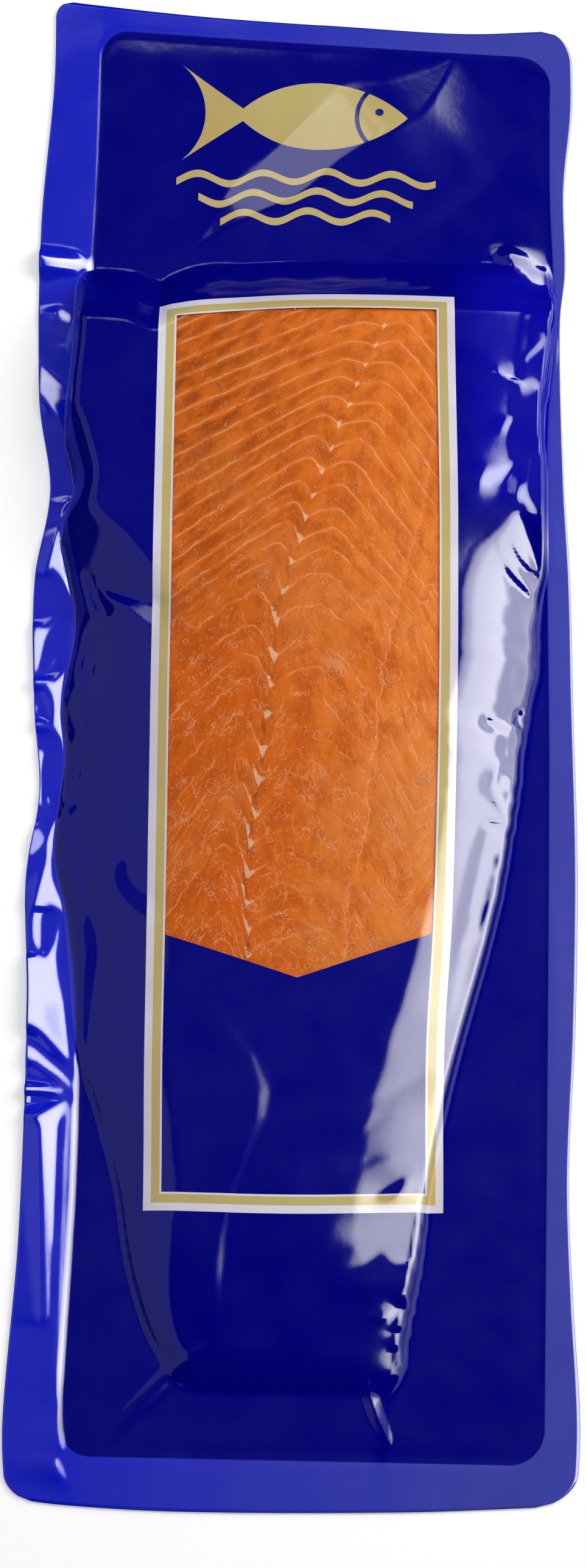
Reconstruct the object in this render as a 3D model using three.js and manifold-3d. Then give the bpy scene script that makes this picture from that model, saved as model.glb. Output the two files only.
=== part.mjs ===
// Pack of smoked salmon: one long side of salmon, vacuum packed in a printed film pouch.
//
// The pouch lies on its back. X runs across it, Y along it with the thick end of the
// fish at +Y, and Z up from the surface it lies on. All sizes are millimetres.
//
// Three solids make the pack:
//   pouch        the printed film: a back web and a front web sealed to each other all
//                round, hollow where the fish lies, and open at the window
//   window_film  the clear stretch of the front web that closes the window
//   salmon_side  the fish, which fills the hollow and shows through the window

import * as THREE from "three";
import { mergeVertices } from "three/addons/utils/BufferGeometryUtils.js";
import Module from "manifold-3d";

// Driving dimensions
const PACK_LENGTH = 602; // over the seals, along Y
const PACK_WIDTH = 219; // over the seals, along X
const WEB = 0.8; // film, drawn thicker than the real 0.15 so that it stays a sound solid
const SEAL = 1.2; // both webs welded together in the rim
const GAP = 0.3; // between two solids that touch
const FISH_HEIGHT = 26; // thickest part of the fish, under the film

// Grid that every sheet of film is drawn on
const COLUMNS = 22;
const ROWS = 50;
const CORNER_ROWS = 4; // extra rows that turn the round corners at each end

// Edges of the pouch. Each is a few knots [distance along the edge, offset], joined by a
// smooth curve: the welded edge has shrunk and waves a little.
const LEFT_EDGE = [
  [-302, -106], [-270, -108], [-200, -104.5], [-110, -104.3], [-60, -106.6],
  [-26, -102.6], [10, -105.8], [60, -107.5], [98, -102.6], [135, -108],
  [205, -110], [262, -106.8], [302, -107.5],
];
const RIGHT_EDGE = [
  [-302, 107], [-268, 108.6], [-225, 105.8], [-178, 103.8], [-120, 106],
  [-60, 106.6], [5, 104.6], [60, 103], [100, 100.4], [165, 98.4],
  [188, 100.5], [225, 99.8], [262, 102.8], [302, 102],
];
const TOP_EDGE = [
  [-110, 301], [-95, 299], [-45, 294.3], [15, 291], [60, 289.2], [95, 291], [110, 291],
];
const BOTTOM_EDGE = [
  [-110, -297.5], [-85, -300.4], [-40, -302], [40, -300.6], [88, -298], [110, -296],
];
const CORNER_TOP_LEFT = 7;
const CORNER_TOP_RIGHT = 12;
const CORNER_BOTTOM_LEFT = 10;
const CORNER_BOTTOM_RIGHT = 15;

// Inner edge of the weld on the two long sides, where the webs part
const WELD_LEFT = [
  [-302, -86.5], [-262, -87], [-180, -84.6], [-110, -86], [-60, -94.5],
  [0, -94], [100, -95.5], [175, -95], [210, -89], [302, -88.5],
];
const WELD_RIGHT = [[-302, 95.5], [-120, 95.4], [60, 95], [140, 94.5], [302, 94]];

// Foot of the bulge that the fish raises in the front web
const BULGE_LEFT = [
  [-262, -40], [-249, -47], [-211, -63], [-160, -75], [-130, -84.5],
  [-60, -93], [0, -93], [80, -95], [160, -94.5], [200, -90],
];
const BULGE_RIGHT = [
  [-262, 36], [-248, 41], [-209, 47], [-151, 56], [-125, 62], [-87, 72],
  [-22, 83], [24, 90], [64, 93], [160, 94], [200, 93],
];
// Height of the bulge along its middle, as a share of FISH_HEIGHT
const BULGE_RISE = [
  [-262, 0], [-250, 0.36], [-228, 0.52], [-180, 0.68], [-100, 0.87], [0, 0.98],
  [90, 1], [140, 0.94], [163, 0.72], [180, 0.34], [194, 0],
];
const BULGE_START = -262;
const BULGE_END = 194;
const FLANK = 36; // width of each sloping side
const FLANK_POWER = 2.4; // how steeply it leaves the foot

// Buckles in the welded sides: [y, lift of the outer edge, half length]
const LEFT_BUCKLES = [
  [192, 4.5, 12], [145, 6, 17], [78, 6, 14], [38, 5, 11], [2, 6, 13],
  [-40, 6.5, 14], [-88, 7, 16], [-150, 5, 34], [-235, 4, 38],
];
const RIGHT_BUCKLES = [
  [205, 2, 20], [160, 3, 16], [118, 3, 14], [-170, 3.5, 22], [-262, 3, 30],
];

// Folds in the front web: from, to, height of the ridge and half width
const FOLDS = [
  { from: [-50, 200], to: [56, 274], height: 3, width: 9 }, // slack drawn towards the top corner
  { from: [27, -248], to: [39, -278], height: 3, width: 4 }, // ridge below the tail
  { from: [-41, -249], to: [-70, -277], height: 2, width: 4 }, // crease to the lower corner
  { from: [93, 64], to: [70, 88], height: 3, width: 6 }, // pinch at the thick shoulder
  { from: [-10, -118], to: [-14, -232], height: 1.5, width: 7 }, // long slack below the window
];

// Window in the print: straight sides, a straight head and a shallow V at the foot
const WINDOW_LEFT = -52;
const WINDOW_RIGHT = 50.5;
const WINDOW_HEAD = 163;
const WINDOW_FOOT = -85;
const WINDOW_POINT = -101.5;

// The fish inside keeps this far from the foot of the bulge
const FISH_INSET = 14;
const FISH_HEAD_END = 176;
const FISH_TAIL_END = -244;

const clamp = THREE.MathUtils.clamp;

// Value at t of a smooth curve through knots [position, value]
function through(knots, t) {
  const last = knots.length - 1;
  let i = 0;
  while (i < last - 1 && t > knots[i + 1][0]) i += 1;
  const [a, b, c, d] = [Math.max(i - 1, 0), i, i + 1, Math.min(i + 2, last)].map((n) => knots[n]);
  const span = c[0] - b[0];
  const s = clamp((t - b[0]) / span, 0, 1);
  const slopeIn = ((c[1] - a[1]) / (c[0] - a[0])) * span;
  const slopeOut = ((d[1] - b[1]) / (d[0] - b[0])) * span;
  const s2 = s * s;
  const s3 = s2 * s;
  return (
    (2 * s3 - 3 * s2 + 1) * b[1] +
    (s3 - 2 * s2 + s) * slopeIn +
    (3 * s2 - 2 * s3) * c[1] +
    (s3 - s2) * slopeOut
  );
}

// Share of the way up a sloping side, from 0 at its foot to 1 at its shoulder
function slope(distance) {
  return 1 - (1 - clamp(distance / FLANK, 0, 1)) ** FLANK_POWER;
}

// Height that the fish adds to the front web
function bulge(x, y) {
  if (y <= BULGE_START || y >= BULGE_END) return 0;
  const rise = Math.max(0, through(BULGE_RISE, y));
  return (
    FISH_HEIGHT * rise * slope(x - through(BULGE_LEFT, y)) * slope(through(BULGE_RIGHT, y) - x)
  );
}

// Height that the folds add: each is a round ridge that fades at both ends
function folds(x, y) {
  let sum = 0;
  for (const { from, to, height, width } of FOLDS) {
    const along = [to[0] - from[0], to[1] - from[1]];
    const length = Math.hypot(...along);
    const t = ((x - from[0]) * along[0] + (y - from[1]) * along[1]) / length ** 2;
    const off = Math.hypot(x - from[0] - t * along[0], y - from[1] - t * along[1]);
    const fade = Math.sin(Math.PI * clamp(t, 0, 1));
    sum += height * Math.sqrt(fade) * Math.exp(-((off / width) ** 2));
  }
  return sum;
}

// Height that one side's buckles lift the weld, growing towards the outer edge
function lift(buckles, y, share) {
  let sum = 0;
  for (const [centre, height, half] of buckles) {
    sum += height * Math.exp(-(((y - centre) / half) ** 2));
  }
  return sum * clamp(share, 0, 1);
}

// Underside of the pouch: flat under the fish, lifted in the buckled sides
function underside(x, y) {
  const left = through(WELD_LEFT, y);
  const right = through(WELD_RIGHT, y);
  const outerLeft = through(LEFT_EDGE, y);
  const outerRight = through(RIGHT_EDGE, y);
  return (
    lift(LEFT_BUCKLES, y, (left - x) / (left - outerLeft)) +
    lift(RIGHT_BUCKLES, y, (x - right) / (outerRight - right))
  );
}

// Outside of the front web
function outside(x, y) {
  return underside(x, y) + SEAL + bulge(x, y) + folds(x, y);
}

// How far a round corner has drawn the edge in, at this distance from the end
function corner(radius, distance) {
  if (distance >= radius) return 0;
  return radius - Math.sqrt(radius ** 2 - (radius - distance) ** 2);
}

// Distances of the grid's rows from the lower end, close together in the corners
function rowPlaces() {
  const end = CORNER_BOTTOM_RIGHT;
  const middle = PACK_LENGTH - 2 * end;
  const lower = [];
  for (let i = 0; i < CORNER_ROWS; i += 1) {
    lower.push(end * (1 - Math.cos(((i / CORNER_ROWS) * Math.PI) / 2)));
  }
  const between = [];
  for (let i = 0; i <= ROWS; i += 1) {
    between.push(end + (middle * i) / ROWS);
  }
  const upper = lower.map((place) => PACK_LENGTH - place).reverse();
  return [...lower, ...between, ...upper];
}
const ROW_PLACES = rowPlaces();

// Place in the pouch's outline of column u (0 to 1) in a row
function planPoint(u, row) {
  const up = ROW_PLACES[row];
  const down = PACK_LENGTH - up;
  const y = up - PACK_LENGTH / 2;
  const left =
    through(LEFT_EDGE, y) + corner(CORNER_BOTTOM_LEFT, up) + corner(CORNER_TOP_LEFT, down);
  const right =
    through(RIGHT_EDGE, y) - corner(CORNER_BOTTOM_RIGHT, up) - corner(CORNER_TOP_RIGHT, down);
  const x = left + (right - left) * u;
  // The ends aren't straight, so the rows bow with them
  const share = up / PACK_LENGTH;
  const bow =
    share ** 4 * (through(TOP_EDGE, x) - PACK_LENGTH / 2) +
    (1 - share) ** 4 * (through(BOTTOM_EDGE, x) + PACK_LENGTH / 2);
  return [x, y + bow];
}

// A sheet over the whole outline between two heights, as a solid
function layer(wasm, bottom, top) {
  const rows = ROW_PLACES.length - 1;
  const geometry = new THREE.BoxGeometry(1, 1, 1, COLUMNS, rows, 1);
  const place = geometry.getAttribute("position");
  for (let i = 0; i < place.count; i += 1) {
    const row = Math.round((place.getY(i) + 0.5) * rows);
    const [x, y] = planPoint(place.getX(i) + 0.5, row);
    place.setXYZ(i, x, y, place.getZ(i) > 0 ? top(x, y) : bottom(x, y));
  }
  return solid(wasm, geometry);
}

// A closed three.js geometry as a solid
function solid(wasm, geometry) {
  geometry.deleteAttribute("normal");
  geometry.deleteAttribute("uv");
  const merged = mergeVertices(geometry, 1e-4);
  return new wasm.Manifold(
    new wasm.Mesh({
      numProp: 3,
      vertProperties: merged.getAttribute("position").array,
      triVerts: new Uint32Array(merged.getIndex().array),
    }),
  );
}

// An upright block with this outline
function block(wasm, outline, low, high) {
  const shape = new THREE.Shape(outline.map(([x, y]) => new THREE.Vector2(x, y)));
  const geometry = new THREE.ExtrudeGeometry(shape, { depth: high - low, bevelEnabled: false });
  geometry.translate(0, 0, low);
  return solid(wasm, geometry);
}

// Outline of the window, drawn in by an inset
function windowOutline(inset) {
  const middle = (WINDOW_LEFT + WINDOW_RIGHT) / 2;
  return [
    [WINDOW_LEFT + inset, WINDOW_FOOT + inset],
    [middle, WINDOW_POINT + inset],
    [WINDOW_RIGHT - inset, WINDOW_FOOT + inset],
    [WINDOW_RIGHT - inset, WINDOW_HEAD - inset],
    [WINDOW_LEFT + inset, WINDOW_HEAD - inset],
  ];
}

// Outline of the fish: it follows the foot of the bulge, with rounded ends
function fishOutline(inset) {
  const tail = FISH_TAIL_END + inset;
  const head = FISH_HEAD_END - inset;
  const steps = 24;
  const rounding = 18;
  const side = (knots, sign) => {
    const points = [];
    for (let i = 0; i <= steps; i += 1) {
      const y = tail + ((head - tail) * (1 - Math.cos((Math.PI * i) / steps))) / 2;
      const round = corner(rounding, y - tail) + corner(rounding, head - y);
      points.push([through(knots, y) - sign * (FISH_INSET + inset + round), y]);
    }
    return points;
  };
  return [...side(BULGE_RIGHT, 1), ...side(BULGE_LEFT, -1).reverse()];
}

// A solid as a named mesh
function mesh(name, body, material) {
  const { vertProperties, triVerts, numProp } = body.getMesh();
  const place = new Float32Array((vertProperties.length / numProp) * 3);
  for (let i = 0; i < place.length / 3; i += 1) {
    place.set(vertProperties.subarray(i * numProp, i * numProp + 3), i * 3);
  }
  const geometry = new THREE.BufferGeometry();
  geometry.setAttribute("position", new THREE.BufferAttribute(place, 3));
  geometry.setIndex(new THREE.BufferAttribute(triVerts, 1));
  geometry.computeVertexNormals();
  const made = new THREE.Mesh(geometry, material);
  made.name = name;
  return made;
}

const printedFilm = new THREE.MeshStandardMaterial({ color: 0x05057f, roughness: 0.18, metalness: 0 });
const clearFilm = new THREE.MeshStandardMaterial({
  color: 0xffffff, roughness: 0.08, metalness: 0, transparent: true, opacity: 0.2,
});
const smokedSalmon = new THREE.MeshStandardMaterial({ color: 0xc8651e, roughness: 0.35, metalness: 0 });

const wasm = await Module();
wasm.setup();

const above = PACK_WIDTH; // anything well over the top of the pack
const innerWeb = (x, y) => outside(x, y) - WEB;
const fishTop = (x, y) => Math.max(innerWeb(x, y) - GAP, SEAL);

const hollow = layer(wasm, () => WEB, (x, y) => Math.max(innerWeb(x, y), WEB + GAP)).intersect(
  block(wasm, fishOutline(0), 0, above),
);
const opening = block(wasm, windowOutline(0), SEAL + GAP, above);
const pouch = layer(wasm, underside, outside).subtract(hollow).subtract(opening);

const frontWeb = layer(wasm, () => 0, outside).subtract(layer(wasm, () => -SEAL, innerWeb));
const window = frontWeb.intersect(block(wasm, windowOutline(GAP), 0, above));
const fish = layer(wasm, () => WEB + GAP, fishTop).intersect(block(wasm, fishOutline(GAP), 0, above));

const pack = new THREE.Group();
pack.add(mesh("pouch", pouch, printedFilm));
pack.add(mesh("window_film", window, clearFilm));
pack.add(mesh("salmon_side", fish, smokedSalmon));

export default pack;
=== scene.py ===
"""Pack of smoked salmon: a printed vacuum pouch with a clear window over a side of salmon.

Lengths in this file are millimetres until a mesh or a light is made, and then metres.
X runs across the pack, Y along it with the thick end of the fish at +Y, and Z up.
"""
import math

import bpy
import numpy as np
from bpy.props import FloatProperty, FloatVectorProperty, PointerProperty
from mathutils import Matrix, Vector


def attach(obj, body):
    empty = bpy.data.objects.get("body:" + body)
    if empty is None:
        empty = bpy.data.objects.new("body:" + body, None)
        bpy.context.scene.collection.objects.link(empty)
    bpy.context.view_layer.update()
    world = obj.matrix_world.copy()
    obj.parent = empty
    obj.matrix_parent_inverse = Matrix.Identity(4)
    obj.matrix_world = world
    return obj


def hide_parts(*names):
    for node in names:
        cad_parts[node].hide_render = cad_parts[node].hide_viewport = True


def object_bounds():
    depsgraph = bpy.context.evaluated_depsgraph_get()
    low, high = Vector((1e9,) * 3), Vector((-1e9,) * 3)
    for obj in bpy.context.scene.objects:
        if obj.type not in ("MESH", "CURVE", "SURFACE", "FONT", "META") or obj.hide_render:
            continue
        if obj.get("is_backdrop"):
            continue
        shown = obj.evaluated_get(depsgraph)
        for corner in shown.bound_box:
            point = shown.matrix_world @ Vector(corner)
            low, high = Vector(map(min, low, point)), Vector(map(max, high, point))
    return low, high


bl_info = {
    "name": "Smoked salmon pack",
    "version": (1, 0, 0),
    "blender": (4, 5, 0),
    "location": "View3D > Sidebar > Salmon pack",
    "description": "Builds a vacuum pack of smoked salmon on a studio floor",
    "category": "Add Mesh",
}

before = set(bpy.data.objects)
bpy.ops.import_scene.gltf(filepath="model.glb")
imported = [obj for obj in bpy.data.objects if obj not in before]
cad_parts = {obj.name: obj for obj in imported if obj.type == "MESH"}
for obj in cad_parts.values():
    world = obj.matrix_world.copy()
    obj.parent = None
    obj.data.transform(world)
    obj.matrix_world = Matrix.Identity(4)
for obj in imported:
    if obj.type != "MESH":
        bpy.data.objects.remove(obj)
CAD_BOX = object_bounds()
MM = 0.001

CAMERA_AZIMUTH = math.radians(1.2)
CAMERA_ELEVATION = math.radians(78)
CAMERA_DISTANCE = 1.44  # in metres, as the next three
CAMERA_TARGET = (-0.004, -0.0234, 0)
FLOOR_REACH = 4.0
FLOOR_DROP = 0.0003

# Outline of the pouch, as knots (distance along the edge, offset) of smooth curves
LEFT_EDGE = (
    (-302, -106), (-270, -108), (-200, -104.5), (-110, -104.3), (-60, -106.6),
    (-26, -102.6), (10, -105.8), (60, -107.5), (98, -102.6), (135, -108),
    (205, -110), (262, -106.8), (302, -107.5),
)
RIGHT_EDGE = (
    (-302, 107), (-268, 108.6), (-225, 105.8), (-178, 103.8), (-120, 106),
    (-60, 106.6), (5, 104.6), (60, 103), (100, 100.4), (165, 98.4),
    (188, 100.5), (225, 99.8), (262, 102.8), (302, 102),
)
TOP_EDGE = ((-110, 301), (-95, 299), (-45, 294.3), (15, 291), (60, 289.2), (95, 291), (110, 291))
BOTTOM_EDGE = ((-110, -297.5), (-85, -300.4), (-40, -302), (40, -300.6), (88, -298), (110, -296))
CORNERS = {"top_left": 7, "top_right": 12, "bottom_left": 10, "bottom_right": 15}  # radii

# Dark panel inside the weld
PANEL_LEFT = (
    (-302, -87), (-262, -87), (-180, -84.6), (-110, -86), (-76, -90.3), (-50, -95.9),
    (-12, -92.9), (8, -94.8), (42, -90.6), (76, -97.2), (95, -92.3), (117, -97.2),
    (150, -95), (180, -94), (190, -89.5), (302, -88.5),
)
PANEL_RIGHT = ((-302, 95.3), (-22, 95.4), (84, 93.8), (124, 94), (160, 96.5), (226, 94), (302, 93.8))
PANEL_TOP = ((-110, 289.5), (-60, 286.5), (20, 282.5), (100, 279))
PANEL_BOTTOM = ((-110, -282.5), (110, -282.5))

# Printed frame round the window, on the raised film
FRAME_LEFT = (
    (-302, -57.5), (-190, -57.4), (-130, -58.4), (-30, -59.3), (75, -60.3), (165, -60.7), (302, -61),
)
FRAME_RIGHT = (
    (-302, 56.3), (-188, 56.2), (-128, 55.6), (-77, 57.8), (0, 58.5), (77, 57.8), (170, 55.3), (302, 55),
)
FRAME_HEAD = ((-110, 161), (-60, 164.8), (-4, 169.6), (55, 170.5), (100, 169))
FRAME_FOOT = ((-110, -190.6), (-57, -190.9), (0, -191.2), (56, -188.8), (110, -187))

# The same lines in the flat print, before the film was drawn over the fish
PRINT_ACROSS = (-108, -90, -58.5, 57, 95, 104)
PRINT_ALONG = (-301, -282.5, -190, 168, 284, 294)
BAND_SILVER = 3.0  # widths of the frame's bands, outer one first
BAND_GOLD = 3.3
BAND_LINE = 0.75
WINDOW_INSET = BAND_SILVER + BAND_GOLD + BAND_LINE
WINDOW_FOOT = -85.0  # ends of the V that closes the window
WINDOW_POINT = -101.5  # its point
WINDOW_BEND = (-140, -40)  # the rows of the front web's mesh bend round the V between these
PRINT_SPAN = 640.0  # the print's map covers this much each way
DEVICE_PLACE = (-2.0, 252.0)
WAVE_LENGTH = 26.0  # of the three waves under the device's fish

# Foot of the bulge over the fish, and how far each flank reaches in
BULGE_LEFT = (
    (-262, -36), (-256, -42), (-249, -46.7), (-234, -55.2), (-211, -62.7), (-181, -68.3),
    (-154, -76.1), (-137, -82), (-123, -85.2), (-100, -87.6), (-76, -91), (-50, -95.6),
    (-12, -93), (8, -94.8), (42, -90.6), (76, -97), (95, -92.6), (117, -97), (150, -95),
    (181, -94), (200, -90),
)
BULGE_RIGHT = (
    (-262, 34), (-255, 38), (-248, 41), (-236, 42), (-209, 46.7), (-179, 50.9), (-151, 55.8),
    (-125, 61.8), (-87, 71.9), (-56, 78.7), (-22, 83.1), (5, 86.5), (24, 89.9), (49, 91),
    (64, 93.2), (90, 92.5), (124, 92.3), (160, 95), (200, 94),
)
FLANK_LEFT = (
    (-262, 12), (-232, 12), (-190, 24), (-150, 32), (-80, 44), (20, 46), (50, 38), (68, 28),
    (80, 14), (88, 11), (100, 9), (114, 8), (122, 4.5), (200, 4.5),
)
FLANK_RIGHT = (
    (-262, 20), (-235, 22), (-207, 26), (-161, 28), (-110, 27), (-60, 28), (-30, 29), (6, 33),
    (42, 33), (54, 33), (60, 30), (66, 26), (73, 16), (78, 8), (83, 4), (200, 3),
)
# Height of the bulge at its crown and at the top of the right flank, the small upright step at
# the foot of each flank, and how hollow or straight the right flank is
CROWN = (
    (-262, 5), (-235, 7), (-215, 9.2), (-200, 10.8), (-160, 13), (-100, 15.5), (-50, 18.8), (0, 23.5),
    (50, 25.2), (150, 25), (200, 24),
)
SHOULDER = (
    (-262, 4), (-235, 6), (-215, 8), (-200, 9.5), (-160, 11.5), (-120, 13), (-60, 16), (-30, 18.5),
    (0, 22), (50, 22), (200, 21),
)
STEP_RIGHT = (
    (-262, 3.6), (-235, 5.6), (-216, 7.8), (-208, 6), (-198, 4.5), (-160, 5.5), (-110, 6.5), (-60, 7.5),
    (-30, 6), (0, 0.6), (50, 0.6), (58, 4), (65, 10), (72, 15), (78, 19), (84, 22), (200, 21),
)
TERRACE = ((-262, 0), (52, 0), (60, 2), (66, 4.5), (73, 7.5), (79, 10), (83, 12), (89, 12), (200, 10))
STEP_LEFT = ((-262, 1.2), (60, 1.5), (80, 3), (200, 5))
BEND_RIGHT = ((-262, 1.3), (-120, 1.2), (-75, 1.3), (-40, 1.7), (0, 2), (200, 2))
# Where the bulge ends at the tail and at the head, and how long its slope is there
TAIL_END = -257.0
TAIL_SLOPE = 17.0
HEAD_END = (
    (-95, 184.5), (-73, 183.5), (-61, 179.5), (-57, 182.5), (-45, 187), (-26, 188), (0, 189.5), (100, 190.5),
)
HEAD_SLOPE = 27.0

# Facets of the slack film, each a fall towards +X per mm and the corners of its outline
RIM_FACETS = (
    (
        0.32, (-110, 193.5), (-94.5, 192), (-89.5, 188), (-89.5, 183), (-96.5, 183.5), (-102.5, 183),
        (-107.5, 185.5), (-111, 188),
    ),
    (0.225, (-111, 188), (-107.5, 185.5), (-102.5, 183), (-97.5, 183.5), (-103.5, 180), (-108.5, 182.5)),
    (0.25, (-103, 168), (-100.5, 169), (-97, 167), (-96, 160.5), (-101.5, 162.5), (-103.5, 165.5)),
    (
        0.4, (-96, 153.5), (-94, 128.5), (-96.5, 126.5), (-98, 123.5), (-98, 127.5), (-96, 131.5),
        (-97, 153.5),
    ),
    (0.235, (-109, 146.5), (-99, 137), (-96, 129), (-98, 117.5), (-100.5, 122), (-109, 131)),
    (0.4, (-92, 89), (-95.5, 89), (-98, 85.5), (-98.5, 81.5), (-98, 81.5), (-96.5, 85), (-94.5, 88)),
    (
        0.26, (-99, 78.5), (-95, 71.5), (-95, 61.5), (-93, 47.5), (-95, 52.5), (-98, 57.5),
        (-100.5, 59.5), (-103.5, 58.5),
    ),
    (
        0.27, (-98, 41.5), (-98, 40), (-102, 33.5), (-103, 29.5), (-104.5, 19.5), (-107, 16.5),
        (-108, 24.5), (-107.5, 37.5), (-102, 37.5),
    ),
    (
        0.24, (-99.5, 27.5), (-98, 25.5), (-98, 22.5), (-100.5, 19.5), (-105, 17), (-105, 18.5),
        (-101, 22), (-99.5, 24),
    ),
    (0.235, (-107, 8.5), (-104, 6), (-104, 1.5), (-107, 1)),
    (
        0.28, (-92.5, 44.5), (-91.5, 39.5), (-92, 24.5), (-94.5, 8.5), (-94.5, -0.5), (-92.5, -11.5),
        (-93, -20.5), (-91.5, -33.5), (-92.5, -33.5), (-94.5, -20.5), (-94, -14.5), (-95, -8.5),
        (-97.5, -5), (-98.5, -1), (-98.5, 5), (-99.5, 9), (-102, 12.5), (-106.5, 12.5), (-106.5, 16.5),
        (-103, 16), (-98, 16), (-95, 19.5), (-93.5, 27.5),
    ),
    (0.24, (-107, 0), (-97.5, -1.5), (-96, -4.5), (-107, -4)),
    (0.27, (-105, -11), (-101, -11.5), (-102, -20.5), (-101.5, -31.5), (-100, -36), (-104, -34.5)),
    (0.35, (-100, -29.5), (-99, -30.5), (-98, -34), (-99, -34.5), (-100, -32.5)),
    (0.225, (-102, -42), (-99.5, -45.5), (-100, -50.5), (-103.5, -54.5), (-108, -57), (-107.5, -44)),
    (
        0.27, (-91.5, -36), (-94.5, -39), (-96.5, -46), (-97, -56), (-96.5, -62.5), (-94, -69),
        (-89.5, -78.5), (-90.5, -80), (-93, -76), (-96, -74.5), (-99, -75), (-100, -79), (-99.5, -92),
        (-102, -92), (-104, -88), (-104.5, -80), (-103.5, -72.5), (-99.5, -55.5), (-99.5, -48.5),
        (-97.5, -41.5), (-94, -36.5),
    ),
    (
        0.3, (-93.5, -78), (-93, -84.5), (-94, -93), (-93, -101), (-90.5, -110.5), (-87, -135.5),
        (-99, -124), (-102.5, -122), (-105.5, -122), (-105.5, -93.5), (-98, -93), (-95.5, -88),
    ),
    (0.24, (-98, -113), (-93, -112.5), (-89, -129.5), (-95, -124), (-97.5, -118.5)),
    (
        0.28, (-106, -126), (-101, -128), (-86.5, -141), (-86.5, -147), (-88.5, -143.5), (-101, -135.5),
        (-106, -134.5),
    ),
    (
        0.28, (-106.5, -142), (-103.5, -143.5), (-91, -143), (-87.5, -146), (-90, -147.5), (-98, -147),
        (-107, -150),
    ),
    (0.212, (-91, -160), (-91, -232), (-94, -234), (-98.5, -160.5)),
    (
        0.31, (-87, -147.5), (-91, -159), (-91.5, -204.5), (-92.5, -204), (-97, -166.5), (-98.5, -159.5),
        (-101.5, -155.5),
    ),
    (
        0.205, (-86, -150), (-86, -200), (-87.5, -250), (-88.5, -262), (-89.5, -262), (-90, -230),
        (-90, -170), (-89, -150),
    ),
    (
        0.45, (-89.5, -80.5), (-89, -80.5), (-86, -110.5), (-84.5, -125), (-84, -140), (-84.5, -200),
        (-86.5, -250), (-86, -268), (-85, -282), (-86, -282), (-87, -268), (-87, -250), (-85, -200),
        (-85, -140), (-85.5, -125),
    ),
    (0.33, (-89.5, -283), (-86.5, -282.5), (-83, -291), (-82.5, -294), (-87, -289)),
)
LEFT_FACETS = (
    (-0.04, (-89.5, 59), (-85.5, 54.5), (-79, 40), (-79.5, 38.5), (-84, 41), (-86, 46)),
    (-0.04, (-86.5, 31), (-85.5, 27), (-85, 15.5), (-83.5, 8.5), (-84.5, 7), (-87.5, 12.5), (-89.5, 20)),
    (-0.08, (-83, 2.5), (-81, 0.5), (-83, -5), (-87.5, -11), (-87, -6.5)),
    (-0.04, (-91.5, -17), (-89, -19), (-89, -27), (-92, -23.5)),
    (-0.04, (-85, -33.5), (-87, -37), (-90.5, -42.5), (-92.5, -36.5), (-89.5, -33.5)),
    (-0.04, (-90.5, -49.5), (-84, -51), (-81, -55.5), (-85, -54.5), (-90.5, -51)),
    (-0.04, (-93, -53), (-88.5, -56), (-84.5, -63.5), (-82.5, -69.5), (-83, -72.5)),
    (
        -0.04, (-83.5, -76.5), (-81, -78), (-78, -84), (-77, -92.5), (-80.5, -128), (-83, -129.5),
        (-83.5, -105.5), (-83, -93), (-84.5, -83),
    ),
    (
        -0.06, (-69.5, -56), (-67, -58), (-66.5, -63), (-63.5, -68), (-56.5, -72.5), (-56.5, -80.5),
        (-65, -76), (-70.5, -70.5), (-73, -64), (-72, -60),
    ),
    (
        -0.06, (-80.5, 57), (-78, 51.5), (-74, 47.5), (-58, 44), (-58, 30.5), (-67.5, 37.5), (-78.5, 47),
        (-82, 54.5),
    ),
    (-0.04, (-73.5, -154.5), (-71.5, -158.5), (-70.5, -167.5), (-72, -168), (-73, -162)),
)
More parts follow.
